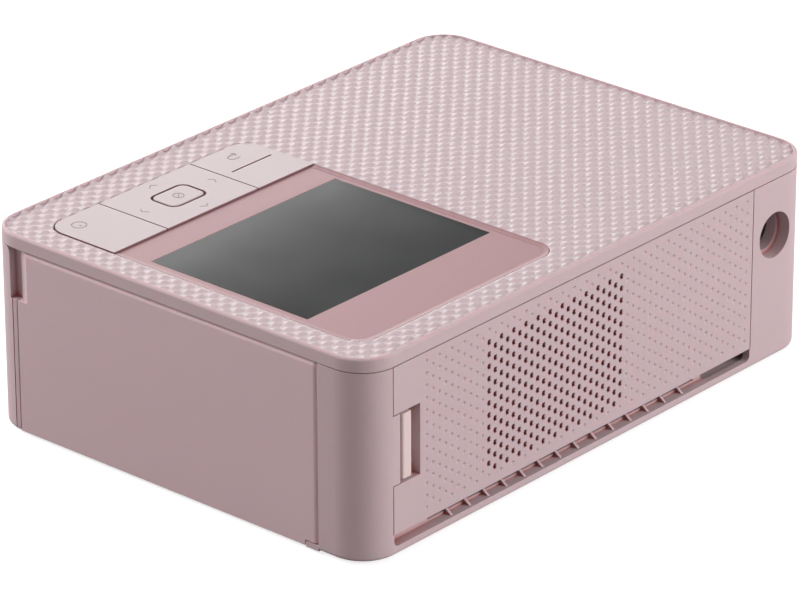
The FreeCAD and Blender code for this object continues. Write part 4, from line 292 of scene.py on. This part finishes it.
def circuit_board():
    """Green solder mask over glass fibre: straight copper tracks show lighter through it, and patches of
    tinned pads stand in a grid."""
    material, tree = new_material("circuit_board_solder_mask")
    place = add(tree, "TexCoord").outputs["Object"]
    tracks = add(tree, "TexBrick", {"Scale": per_mm(TRACK_SPACING), "Mortar Size": 0.03,
                                    "Color1": srgb("#17492c"), "Color2": srgb("#1d5534"),
                                    "Mortar": srgb("#3c7a50")}, {"Vector": place})
    pads = add(tree, "TexVoronoi", {"Scale": per_mm(PAD_SPACING), "Randomness": 0.0}, {"Vector": place})
    on_pad = add(tree, "Math", {"operation": "LESS_THAN", 1: PAD_RADIUS}, {0: pads.outputs["Distance"]})
    patch = add(tree, "TexNoise", {"Scale": per_mm(PATCH_SIZE)}, {"Vector": place})
    some = add(tree, "Math", {"operation": "GREATER_THAN", 1: PATCH_LEVEL}, {0: patch.outputs["Fac"]})
    tin = add(tree, "Math", {"operation": "MULTIPLY"}, {0: on_pad.outputs[0], 1: some.outputs[0]})
    colour = add(tree, "Mix", {"data_type": "RGBA", 7: srgb("#c9c4b4")},
                 {0: tin.outputs[0], 6: tracks.outputs["Color"]})
    shader = add(tree, "BsdfPrincipled", {"Roughness": 0.35, "Coat Weight": 0.3, "Coat Roughness": 0.15},
                 {"Base Color": colour.outputs[2], "Metallic": tin.outputs[0]})
    close(tree, shader)
    return material


# ABS of the casing: spark-eroded grain, drawn 0.9 mm coarse so that it shows; a dull, even pink, with a
# deeper red painted shade in its hollows.
CASING = moulded_plastic("pink_moulded_abs", "#cdb9bc", "#cab5b9", rough=0.6, grain=0.9, grain_height=0.02,
                         edge=0.1, glow=0.3, hollow_shade="#a5605a")
# The lid's body, the same ABS without the painted hollow shade: its rim has no hollows.
RIM = moulded_plastic("pink_moulded_abs_rim", "#cdb9bc", "#cab5b9", rough=0.6, grain=0.9, grain_height=0.02,
                      edge=0.1, glow=0.3)
# The same ABS in the lid's relief, tinted paler and whiter as painted light: it stands in for the light
# caught between its diamonds and their whiter highlights.
LID = moulded_plastic("pink_moulded_abs_relief_painted_paler", "#cdbfc2", "#cabbbe", rough=0.4, grain=0.9,
                      grain_height=0.012, edge=0.2, glow=0.08)
# The ink door is tinted a little paler than the casing.
DOOR = moulded_plastic("pale_pink_moulded_abs", "#d9c2c5", "#d6bec2", rough=0.6, grain=0.9, grain_height=0.02,
                       edge=0.1, glow=0.3)
# The latch's bar, a pale insert.
LATCH = moulded_plastic("pale_moulded_latch_abs", "#e9d6d3", "#e5d1ce", rough=0.45, grain=0.9,
                        grain_height=0.01, edge=0.1)
# ABS of the display's surround, moulded smooth, with an even satin; tinted darker than the casing.
SURROUND = moulded_plastic("pink_satin_abs", "#a98689", "#a58285", rough=0.38, grain=1.4, grain_height=0.006,
                           edge=0.2, shine=0.25)
# Key caps, moulded ABS with a soft lacquer: pale on top, with a darker painted shade on their sides.
KEY_CAPS = moulded_plastic("pale_lacquered_abs", "#bcb0b2", "#b8abad", rough=0.42, grain=1.2,
                           grain_height=0.006, edge=0.15, coat=0.1, side_shade="#8a6669")
# Printing ink on the key caps: thin, grey and dull.
KEY_INK = moulded_plastic("grey_pad_printed_ink", "#9c8b8d", "#968588", rough=0.6, grain=0.8,
                          grain_height=0.004, edge=0.05)
# Housings and levers inside: PBT and ABS, dark and dull.
BLACK_PLASTIC = moulded_plastic("black_moulded_pbt", "#1b1b1d", "#232325", rough=0.5, grain=0.8,
                                grain_height=0.02, edge=0.25)
GUIDE_PLASTIC = moulded_plastic("grey_moulded_abs", "#3a3b3d", "#333436", rough=0.45, grain=1.0,
                                grain_height=0.02, edge=0.25)
# Acetal of the gears and the bushes: milky, slightly waxy.
ACETAL = moulded_plastic("white_moulded_acetal", "#e9e6dc", "#dfdbd0", rough=0.35, grain=1.6,
                         grain_height=0.008, edge=0.1)
BUSH_ACETAL = moulded_plastic("grey_moulded_acetal", "#bdbdb8", "#b2b2ad", rough=0.35, grain=1.6,
                              grain_height=0.008, edge=0.1)
# Glazed ceramic strip of the thermal head: cream and smooth.
CERAMIC = moulded_plastic("glazed_head_ceramic", "#dcd7c4", "#d3cdb8", rough=0.18, grain=2.5,
                          grain_height=0.003, edge=0.1, coat=0.6)
# Cold-rolled steel with zinc: cool grey, with rolling lines along Y.
ZINC_STEEL = sheet_metal("zinc_plated_rolled_steel", "#b9bcbe", "#a7abae", rough=0.38, grain=0.8,
                         squeeze=(1.0, 0.06, 1.0))
# Ground bar: bright, with fine rings round its length, which runs along X.
GROUND_STEEL = sheet_metal("ground_bar_steel", "#c8c9ca", "#bbbcbe", rough=0.26, grain=0.5,
                           squeeze=(1.0, 0.04, 0.04))
# Tinned steel and extruded aluminium: their lines run along X.
DISPLAY_STEEL = sheet_metal("tinned_shield_steel", "#9b9da0", "#8b8d91", rough=0.34, grain=0.8,
                            squeeze=(0.06, 1.0, 1.0))
SINK_ALUMINIUM = sheet_metal("extruded_aluminium", "#cfd0d2", "#c2c4c7", rough=0.3, grain=0.6,
                             squeeze=(0.05, 1.0, 1.0))
# Ground rubber of the feet and rollers, and the cast silicone mat under the keys.
BLACK_RUBBER = rubber("black_ground_rubber", "#161617", "#1f1f20", grain=0.7)
SILICONE = rubber("translucent_cast_silicone", "#cfcdc6", "#c4c2bb", grain=1.5)
GLASS = display_window()
BOARD = circuit_board()

FINISHES = {
    "casing_plastic": CASING, "top_plastic": LID, "panel_plastic": KEY_CAPS, "display_glass": GLASS,
    "display_metal": DISPLAY_STEEL, "circuit_board": BOARD, "black_plastic": BLACK_PLASTIC,
    "steel_sheet": ZINC_STEEL, "turned_steel": GROUND_STEEL, "black_rubber": BLACK_RUBBER,
    "silicone": SILICONE, "gear_plastic": ACETAL, "guide_plastic": GUIDE_PLASTIC,
    "bush_plastic": BUSH_ACETAL, "sink_aluminium": SINK_ALUMINIUM, "head_ceramic": CERAMIC,
}
for subpart in frame["record"]["subparts"]:
    node = NODES[subpart["node"]]
    node.data.materials.clear()
    node.data.materials.append(FINISHES[subpart["material_slot"]])
NODES["display_bezel"].data.materials[0] = SURROUND
NODES["ink_door"].data.materials[0] = DOOR
NODES["cover_latch"].data.materials[0] = LATCH


# Shapes


def piece(name, points, faces, body, material):
    """A piece from points in millimetres and faces as rows of indices."""
    mesh = bpy.data.meshes.new(name)
    mesh.from_pydata((np.asarray(points) * MM).tolist(), [], [list(map(int, face)) for face in faces])
    mesh.validate()
    mesh.materials.append(material)
    made = bpy.data.objects.new(name, mesh)
    bpy.context.scene.collection.objects.link(made)
    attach(made, body)
    return made


def rounded_distance(points, low, high, radius):
    """How far each point lies outside a rectangle with rounded corners: the length of what is left of |p - c|
    beyond the half size less the radius, less the radius; negative inside."""
    middle, half = (low + high) / 2, (high - low) / 2
    left = np.abs(points - middle) - half + radius
    return np.hypot(*np.maximum(left, 0).T) + np.minimum(left.max(axis=1), 0) - radius


def border_edges(quads):
    """The directed edges that only one of the quads has."""
    edges = np.concatenate([quads[:, [i, (i + 1) % 4]] for i in range(4)])
    largest = quads.max() + 1
    keys = edges[:, 0] * largest + edges[:, 1]
    backs = edges[:, 1] * largest + edges[:, 0]
    return edges[~np.isin(keys, backs)]


def outside_field(points):
    """Above zero beyond the field's outline or inside the panel's."""
    return np.maximum(rounded_distance(points, FIELD_LOW, FIELD_HIGH, FIELD_ROUND),
                      -rounded_distance(points, PANEL_LOW, PANEL_HIGH, PANEL_ROUND))


def lid_relief():
    """Staggered diamonds. A point is s * a + t * b with a = (pitch / 2, row / 2) and
    b = (pitch / 2, -row / 2); d is the cube root of the sum of the cubes of twice the distances of s and t
    from their nearest whole numbers, at most 1. The height falls as (1 + cos(pi * d)) / 2 from each diamond's
    middle, and to nothing over the last stretch before the outline. Grid points beyond the outline move on to
    it along the slope of the distance, and a skirt and a flat underside close the sheet."""
    a, b = np.array([DIAMOND_X, DIAMOND_Y]) / 2, np.array([DIAMOND_X, -DIAMOND_Y]) / 2
    span = int(np.ceil(np.hypot(*(FIELD_HIGH - FIELD_LOW)) / DIAMOND_Y)) * DIAMOND_STEPS
    steps = np.arange(-span, span + 1)
    s, t = (axis / DIAMOND_STEPS for axis in np.meshgrid(steps, steps, indexing="ij"))
    flat = DIAMOND_FIRST + s[..., None] * a + t[..., None] * b
    beyond = outside_field(flat.reshape(-1, 2)).reshape(s.shape)
    index = np.arange(s.size).reshape(s.shape)
    corners = [(slice(None, -1), slice(None, -1)), (slice(None, -1), slice(1, None)),
               (slice(1, None), slice(1, None)), (slice(1, None), slice(None, -1))]
    quads = np.stack([index[c] for c in corners], axis=-1)
    quads = quads[np.min([beyond[c] for c in corners], axis=0) < 0]
    used, quads = np.unique(quads, return_inverse=True)
    quads = quads.reshape(-1, 4)
    flat, s, t, beyond = flat.reshape(-1, 2)[used], s.ravel()[used], t.ravel()[used], beyond.ravel()[used]
    for _ in range(2):
        outside = outside_field(flat)
        slope = np.stack([(outside_field(flat + step) - outside_field(flat - step)) / (2 * SLOPE_RUN)
                          for step in (np.array([SLOPE_RUN, 0]), np.array([0, SLOPE_RUN]))], axis=1)
        flat = np.where((beyond > 0)[:, None], flat - outside[:, None] * slope, flat)
    a_b = np.stack([a, b])
    s, t = np.linalg.solve(a_b.T, (flat - DIAMOND_FIRST).T)
    off = 2 * np.abs([s - np.round(s), t - np.round(t)])
    d = np.minimum((off ** DIAMOND_SQUARENESS).sum(axis=0) ** (1 / DIAMOND_SQUARENESS), 1)
    rise = DIAMOND_RISE * (1 + np.cos(np.pi * d)) / 2
    rise *= np.clip(-outside_field(flat) / RELIEF_FADE, 0, 1)
    top = np.column_stack([flat, FIELD_Z + DIAMOND_BASE + rise])
    # the lattice's s and t turn clockwise, so a quad in grid order faces down
    upward = quads[:, ::-1]
    edges = border_edges(upward)
    following, loops = dict(edges.tolist()), []
    while following:
        loops.append([next(iter(following))])
        while loops[-1][-1] in following:
            loops[-1].append(following.pop(loops[-1][-1]))
        loops[-1].pop()
    border = np.concatenate(loops)
    sunk = np.empty(len(flat), dtype=int)
    sunk[border] = len(flat) + np.arange(len(border))
    under = np.column_stack([flat[border], np.full(len(border), FIELD_Z - DIAMOND_SINK)])
    skirt = np.column_stack([edges[:, 1], edges[:, 0], sunk[edges[:, 0]], sunk[edges[:, 1]]])
    centre_s, centre_t = s[upward].mean(axis=1), t[upward].mean(axis=1)
    same = (centre_s - np.round(centre_s)) * (centre_t - np.round(centre_t)) > 0
    turned = np.where(same[:, None], upward, np.roll(upward, 1, axis=1))
    halves = np.concatenate([turned[:, [0, 1, 2]], turned[:, [0, 2, 3]]])
    fill = np.array(tessellate_polygon([[Vector((*flat[i], 0)) for i in loop] for loop in loops]))
    one, two, three = (flat[border[fill[:, i]]] for i in range(3))
    rising = np.cross(two - one, three - one) > 0
    fill[rising] = fill[rising][:, ::-1]
    made = piece("lid_relief", np.concatenate([top, under]),
                 list(halves) + list(skirt) + list(fill + len(flat)), "casing", LID)
    rounded = np.zeros(len(made.data.polygons), dtype=bool)
    rounded[:len(halves)] = True
    made.data.polygons.foreach_set("use_smooth", rounded)


lid_relief()


def rear_pits():
    """Four-sided points, each a rhombus just proud of the cover's face and an apex below it, at
    x = first - column * pitch, z = first - (row + half a row in odd columns) * pitch: blind dimples, and
    wider ones that flare the mouths of the vents."""
    face = COVER_HIGH[1]
    first_x, first_z = COVER_HIGH[0] - VENT_INSET, COVER_HIGH[2] - VENT_TOP
    columns, rows = np.meshgrid(np.arange(*LATTICE_COLUMNS), np.arange(*LATTICE_ROWS), indexing="ij")
    columns, rows = columns.ravel(), rows.ravel()
    x = first_x - columns * VENT_X
    z = first_z - (rows + (columns % 2) / 2) * VENT_Z
    vent = (columns >= 0) & (columns < VENT_COLUMNS) & (rows >= 0) & (rows < VENT_ROWS)
    blind = ~vent & (x < DIMPLE_RIGHT) & (x > DIMPLE_LEFT) & (z > DIMPLE_LOW) & (z < DIMPLE_HIGH)
    points, faces = [], []
    for kept, (wide, tall, depth) in ((blind, DIMPLE_SIZE), (vent, FLARE_SIZE)):
        grow = (1 + PIT_PROUD / depth) / 2
        shape = np.array([[-wide * grow, PIT_PROUD, 0], [0, PIT_PROUD, -tall * grow],
                          [wide * grow, PIT_PROUD, 0], [0, PIT_PROUD, tall * grow], [0, -depth, 0]])
        middle = np.column_stack([x[kept], np.full(kept.sum(), face), z[kept]])
        start = sum(map(len, points)) + np.arange(len(middle))[:, None] * len(shape)
        points.append((middle[:, None] + shape).reshape(-1, 3))
        faces += [row for i in range(4) for row in start + np.array([i, (i + 1) % 4, 4])]
        faces += list(start + np.array([3, 2, 1, 0]))
    return np.concatenate(points), faces


def carved(name, source, points, faces, body, slot, material):
    """A copy of a node with a closed shape cut out of it, which stands in for the node."""
    made = bpy.data.objects.new(name, NODES[source].data.copy())
    bpy.context.scene.collection.objects.link(made)
    mesh = bpy.data.meshes.new("cutter")
    mesh.from_pydata((np.asarray(points) * MM).tolist(), [], [list(map(int, face)) for face in faces])
    cutter = bpy.data.objects.new("cutter", mesh)
    bpy.context.scene.collection.objects.link(cutter)
    weld = made.modifiers.new("weld", "WELD")
    weld.merge_threshold = WELD_REACH * MM
    carve = made.modifiers.new("carve", "BOOLEAN")
    carve.object = cutter
    carve.operation = "DIFFERENCE"
    carve.solver = "EXACT"
    graph = bpy.context.evaluated_depsgraph_get()
    finished = bpy.data.meshes.new_from_object(made.evaluated_get(graph))
    made.modifiers.clear()
    made.data = finished
    bpy.data.objects.remove(cutter)
    finished.materials.clear()
    finished.materials.append(material)
    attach(made, body)
    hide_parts(source)


carved("rear_cover_dimpled", "rear_cover", *rear_pits(), "rear_cover", "casing_plastic", CASING)


def sweep(path, profile, closed):
    """A profile of (offset to the left, height) carried along a flat path: each point moves sideways along
    the mean of its neighbouring runs' normals, further where the path bends."""
    path = np.asarray(path, dtype=float)
    ahead = np.roll(path, -1, axis=0) - path
    behind = path - np.roll(path, 1, axis=0)
    if not closed:
        ahead[-1], behind[0] = behind[-1], ahead[0]
    lean = ahead / np.hypot(*ahead.T)[:, None] + behind / np.hypot(*behind.T)[:, None]
    lean /= np.hypot(*lean.T)[:, None]
    side = np.column_stack([-lean[:, 1], lean[:, 0]])
    sharp = np.abs((side * np.column_stack([-ahead[:, 1], ahead[:, 0]])).sum(axis=1)) / np.hypot(*ahead.T)
    side /= np.maximum(sharp, LEAST_LEAN)[:, None]
    count, rings = len(path), len(profile)
    points = np.concatenate([np.column_stack([path + side * offset, np.full(count, level)])
                             for offset, level in profile])
    i = np.arange(count if closed else count - 1)
    j = (i + 1) % count
    faces = [face for k in range(rings) for face in np.column_stack(
        [i + k * count, j + k * count, j + (k + 1) % rings * count, i + (k + 1) % rings * count])]
    if not closed:
        faces += [[k * count for k in range(rings)],
                  [count - 1 + k * count for k in reversed(range(rings))]]
    return points, faces


def ink_mark(name, paths, level, body):
    """Pad-printed lines on a key: one mesh of flat bands, (path, closed) each."""
    points, faces, start = [], [], 0
    for path, closed in paths:
        low, high, half = level - INK_SINK, level + INK_THICK, INK_WIDTH / 2
        band, quads = sweep(path, [(half, low), (-half, low), (-half, high), (half, high)], closed)
        points.append(band)
        faces += [[index + start for index in quad] for quad in quads]
        start += len(band)
    piece(name, np.concatenate(points), faces, body, KEY_INK)


def arc(centre, radius, first, last, count):
    """Points of a circle's arc between two angles in degrees."""
    angle = np.radians(np.linspace(first, last, count))
    return np.column_stack([centre[0] + radius * np.cos(angle), centre[1] + radius * np.sin(angle)])


def key_marks():
    """Chevrons on the four-way plate, the standby sign, the return arrow and a ring on the middle key."""
    middle = (NAV_LOW + NAV_HIGH)[:2] / 2
    point = np.array([[-CHEVRON_RISE / 2, CHEVRON_HALF], [CHEVRON_RISE / 2, 0],
                      [-CHEVRON_RISE / 2, -CHEVRON_HALF]])
    chevrons = []
    for place, turn in CHEVRONS:
        c, s = math.cos(math.radians(turn)), math.sin(math.radians(turn))
        chevrons.append((point @ np.array([[c, s], [-s, c]]) + middle + np.array(place), False))
    ink_mark("nav_arrows", chevrons, NAV_HIGH[2] - CAP_DROP, "nav_plate")

    power = np.array([POWER_HIGH[0], POWER_LOW[1]]) + STANDBY_PLACE
    ink_mark("standby_sign", [(arc(power, STANDBY_RADIUS, *SIGN_RING), True), (power + STANDBY_BAR, False)],
             POWER_HIGH[2] - CAP_DROP, "power_key")

    back = PRINT_LOW[:2] + RETURN_PLACE
    bend = arc(back + RETURN_CENTRE, RETURN_RADIUS, *RETURN_BEND)
    tail = np.concatenate([[back + RETURN_START], bend, [back + RETURN_END]])
    ink_mark("return_arrow", [(tail, False), (back + RETURN_HEAD, False)], PRINT_HIGH[2] - CAP_DROP,
             "print_back_key")

    ring = (OK_LOW + OK_HIGH)[:2] / 2
    ink_mark("ok_ring", [(arc(ring, OK_RADIUS, *SIGN_RING), True), (ring + OK_STROKE, False)],
             OK_HIGH[2] - CAP_DROP, "ok_key")


def pared_lid():
    """The lid without its rim above the field: a ring cut away whose underside rounds the outer edge."""
    low, high = LID_LOW[:2] + CORNER_ROUND, LID_HIGH[:2] - CORNER_ROUND
    corners = (((high[0], low[1]), -90), ((high[0], high[1]), 0),
               ((low[0], high[1]), 90), ((low[0], low[1]), 180))
    outline = np.concatenate([arc(centre, CORNER_ROUND, first, first + 90, LID_ARC)
                              for centre, first in corners])
    above = LID_HIGH[2] + RIM_CUT_OUT
    profile = [(RIM_CUT_IN, above), (-RIM_CUT_OUT, above)] + [
        (offset, FIELD_Z - drop) for offset, drop in reversed(RIM_ROUND)]
    points, faces = sweep(outline, profile, True)
    carved("top_cover_pared", "top_cover", points, faces, "casing", "top_plastic", RIM)


pared_lid()


def lowered(name, body):
    """A copy of a key whose cap, above the bezel's face, stands lower, nearly flush with it as in the photo.
    The copy stands in for the key."""
    mesh = NODES[name].data.copy()
    places = np.empty(len(mesh.vertices) * 3)
    mesh.vertices.foreach_get("co", places)
    heights = places.reshape(-1, 3)[:, 2]
    heights[heights > (BEZEL_HIGH[2] - CAP_MARGIN) * MM] -= CAP_DROP * MM
    mesh.vertices.foreach_set("co", places)
    made = bpy.data.objects.new(name + "_flush", mesh)
    bpy.context.scene.collection.objects.link(made)
    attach(made, body)
    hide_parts(name)


# Each of these keys has a body of its own name.
for key in ("power_key", "print_back_key", "nav_plate", "ok_key"):
    lowered(key, key)
key_marks()


def bezel_cove():
    """A hollow fillet between the lid and the display's surround, on three sides. Across it, the height is
    low + (wall - low) * (1 - u) ** 2 for u from the wall to its inner edge; along it, it follows the
    panel's outline as two straights, two arcs and the rear straight."""
    inner = PANEL_GAP + COVE_GAP
    low, high = PANEL_LOW + inner, PANEL_HIGH - inner
    radius = PANEL_ROUND - inner
    front = BEZEL_LOW[1]
    rear_left = np.array([low[0] + radius, high[1] - radius])
    rear_right = np.array([high[0] - radius, high[1] - radius])
    wall, foot = (np.concatenate([[[low[0] + inset, front]],
                                  arc(rear_left, radius - inset, 180, 90, PANEL_ARC),
                                  arc(rear_right, radius - inset, 90, 0, PANEL_ARC),
                                  [[high[0] - inset, front]]])
                  for inset in (0, COVE_WIDE))
    u = np.linspace(0, 1, COVE_STEPS)
    rise = COVE_LOW + (FIELD_Z - BEZEL_HIGH[2] + DIAMOND_BASE - COVE_LOW) * (1 - u) ** 2
    across = [np.column_stack([wall + (foot - wall) * k, np.full(len(wall), BEZEL_HIGH[2] + h)])
              for k, h in zip(u, rise)]
    sunk = BEZEL_HIGH[2] - COVE_SINK
    across += [np.column_stack([line, np.full(len(line), sunk)]) for line in (foot, wall)]
    count, rings = len(wall), len(across)
    i = np.arange(count - 1)
    faces = [face for k in range(rings) for face in np.column_stack(
        [i + k * count, i + (k + 1) % rings * count, i + 1 + (k + 1) % rings * count, i + 1 + k * count])]
    faces += [[k * count for k in range(rings)][::-1], [k * count + count - 1 for k in range(rings)]]
    piece("bezel_cove", np.concatenate(across), faces, "casing", SURROUND)


bezel_cove()


# Stage, light and camera

FLOOR_HALF, FLOOR_TINT, FLOOR_SEEN_TINT, FLOOR_GLOW = 20000, "#8a8a8a", "#b4b4b4", 0.78
# The world's fill is slightly pink, as light thrown back by the object's own colour in a small white tent.
# Its darker side, for reflections only, is where the photo's glass shows none: the heading of its middle, its
# strength, and the cosines at which it starts and is full.
WORLD_FILL, FILL_TINT = 0.4, (1, 0.85, 0.86, 1)
DARK_SIDE, DARK_STRENGTH, DARK_START, DARK_FULL = (-0.75, -0.66, 0.0), 0.18, 0.2, 0.9


def stage_floor():
    """A pale floor; camera rays also see it glow a little, so it reads as white and keeps the shadow."""
    material, tree = new_material("pale_studio_floor")
    path = add(tree, "LightPath")
    dull = add(tree, "BsdfDiffuse", {"Color": srgb(FLOOR_TINT)})
    faint = add(tree, "BsdfDiffuse", {"Color": srgb(FLOOR_SEEN_TINT)})
    glow = add(tree, "Emission", {"Color": (1, 1, 1, 1), "Strength": FLOOR_GLOW})
    seen = add(tree, "AddShader", None, {0: faint.outputs[0], 1: glow.outputs[0]})
    mixed = add(tree, "MixShader", None,
                {0: path.outputs["Is Camera Ray"], 1: dull.outputs[0], 2: seen.outputs[0]})
    close(tree, mixed)
    half = FLOOR_HALF * MM
    mesh = bpy.data.meshes.new("studio_floor")
    mesh.from_pydata([(-half, -half, 0), (half, -half, 0), (half, half, 0), (-half, half, 0)], [],
                     [(0, 1, 2, 3)])
    mesh.materials.append(material)
    floor = bpy.data.objects.new("studio_floor", mesh)
    bpy.context.scene.collection.objects.link(floor)


def studio_world():
    """White to the camera; a soft even light to everything else, with a darker side for reflections."""
    world = bpy.data.worlds.new("studio")
    bpy.context.scene.world = world
    world.use_nodes = True
    tree = world.node_tree
    tree.nodes.clear()
    path = add(tree, "LightPath")
    glossy = add(tree, "Math", {"operation": "MAXIMUM"},
                 {0: path.outputs["Is Glossy Ray"], 1: path.outputs["Is Transmission Ray"]})
    fill = add(tree, "Background", {"Color": FILL_TINT, "Strength": WORLD_FILL})
    white = add(tree, "Background", {"Color": (1, 1, 1, 1), "Strength": 1.0})
    heading = add(tree, "VectorMath", {"operation": "DOT_PRODUCT", 1: DARK_SIDE},
                  {0: add(tree, "TexCoord").outputs["Generated"]})
    side = add(tree, "MapRange", {"From Min": DARK_START, "From Max": DARK_FULL, "To Min": 1.0,
                                  "To Max": DARK_STRENGTH}, {"Value": heading.outputs["Value"]})
    mirror = add(tree, "Background", {"Color": (1, 1, 1, 1)}, {"Strength": side.outputs[0]})
    indirect = add(tree, "MixShader", None, {0: glossy.outputs[0], 1: fill.outputs[0], 2: mirror.outputs[0]})
    shown = add(tree, "MixShader", None,
                {0: path.outputs["Is Camera Ray"], 1: indirect.outputs[0], 2: white.outputs[0]})
    add(tree, "OutputWorld", None, {"Surface": shown.outputs[0]})


def softbox(name, azimuth, elevation, distance, wide, tall, power, roll=0, mirrored=True):
    """A soft lamp aimed at the object's middle, placed by its azimuth from +X and its elevation in degrees,
    and rolled about its own middle. One that isn't mirrored leaves no glare on the glass and the caps."""
    lamp = bpy.data.lights.new(name, "AREA")
    lamp.shape = "RECTANGLE"
    lamp.size, lamp.size_y = wide * MM, tall * MM
    lamp.energy = power
    made = bpy.data.objects.new(name, lamp)
    a, e = math.radians(azimuth), math.radians(elevation)
    aim = Vector((math.cos(a) * math.cos(e), math.sin(a) * math.cos(e), math.sin(e)))
    made.location = Vector((0, 0, LID_HIGH[2] / 2 * MM)) + aim * distance * MM
    made.rotation_euler = (aim.to_track_quat("Z", "Y") @ Quaternion((0, 0, 1), math.radians(roll))).to_euler()
    made.visible_glossy = mirrored
    bpy.context.scene.collection.objects.link(made)


stage_floor()
studio_world()
softbox("front_softbox", azimuth=-63, elevation=36, distance=1400, wide=1000, tall=1000, power=17.0,
        mirrored=False)
softbox("rear_softbox", azimuth=118, elevation=16, distance=1350, wide=1100, tall=700, power=15.0,
        mirrored=False)
# A wide low reflector that gives the highlights on the lid's relief.
softbox("low_reflector", azimuth=-107, elevation=14, distance=1300, wide=2180, tall=567, power=6.5)
# A small card that only the flat glass and caps mirror towards the photo's camera.
softbox("glare_card", azimuth=-132.6, elevation=18.2, distance=1288, wide=300, tall=300, power=0.95,
        roll=27)

# The camera, solved from the photograph against the printer's outer box.
PHOTO_AZIMUTH, PHOTO_ELEVATION, PHOTO_ROLL = 131.248, 24.71, -0.182
PHOTO_DISTANCE, PHOTO_TARGET = 1440.18, (8.788, 5.686, 28.8)
FOCAL_PIXELS, PHOTO_WIDTH, SENSOR, SIGHT = 5410.45, 800, 36.0, 100


def photo_camera():
    """Back, right and up are the camera's axes from its azimuth and elevation, then turned by the roll."""
    a, e, r = (math.radians(angle) for angle in (PHOTO_AZIMUTH, PHOTO_ELEVATION, PHOTO_ROLL))
    back = Vector((math.sin(a) * math.cos(e), -math.cos(a) * math.cos(e), math.sin(e)))
    right = Vector((math.cos(a), math.sin(a), 0))
    up = back.cross(right)
    turned_right = right * math.cos(r) + up * math.sin(r)
    turned_up = up * math.cos(r) - right * math.sin(r)
    lens = bpy.data.cameras.new("photo_camera")
    lens.sensor_width = SENSOR
    lens.lens = FOCAL_PIXELS * SENSOR / PHOTO_WIDTH
    lens.clip_end = SIGHT
    camera = bpy.data.objects.new("photo_camera", lens)
    turn = Matrix((turned_right, turned_up, back)).transposed().to_4x4()
    place = (Vector(PHOTO_TARGET) + back * PHOTO_DISTANCE) * MM
    camera.matrix_world = Matrix.Translation(place) @ turn
    bpy.context.scene.collection.objects.link(camera)
    bpy.context.scene.camera = camera


photo_camera()
bpy.context.scene.view_settings.view_transform = "Standard"
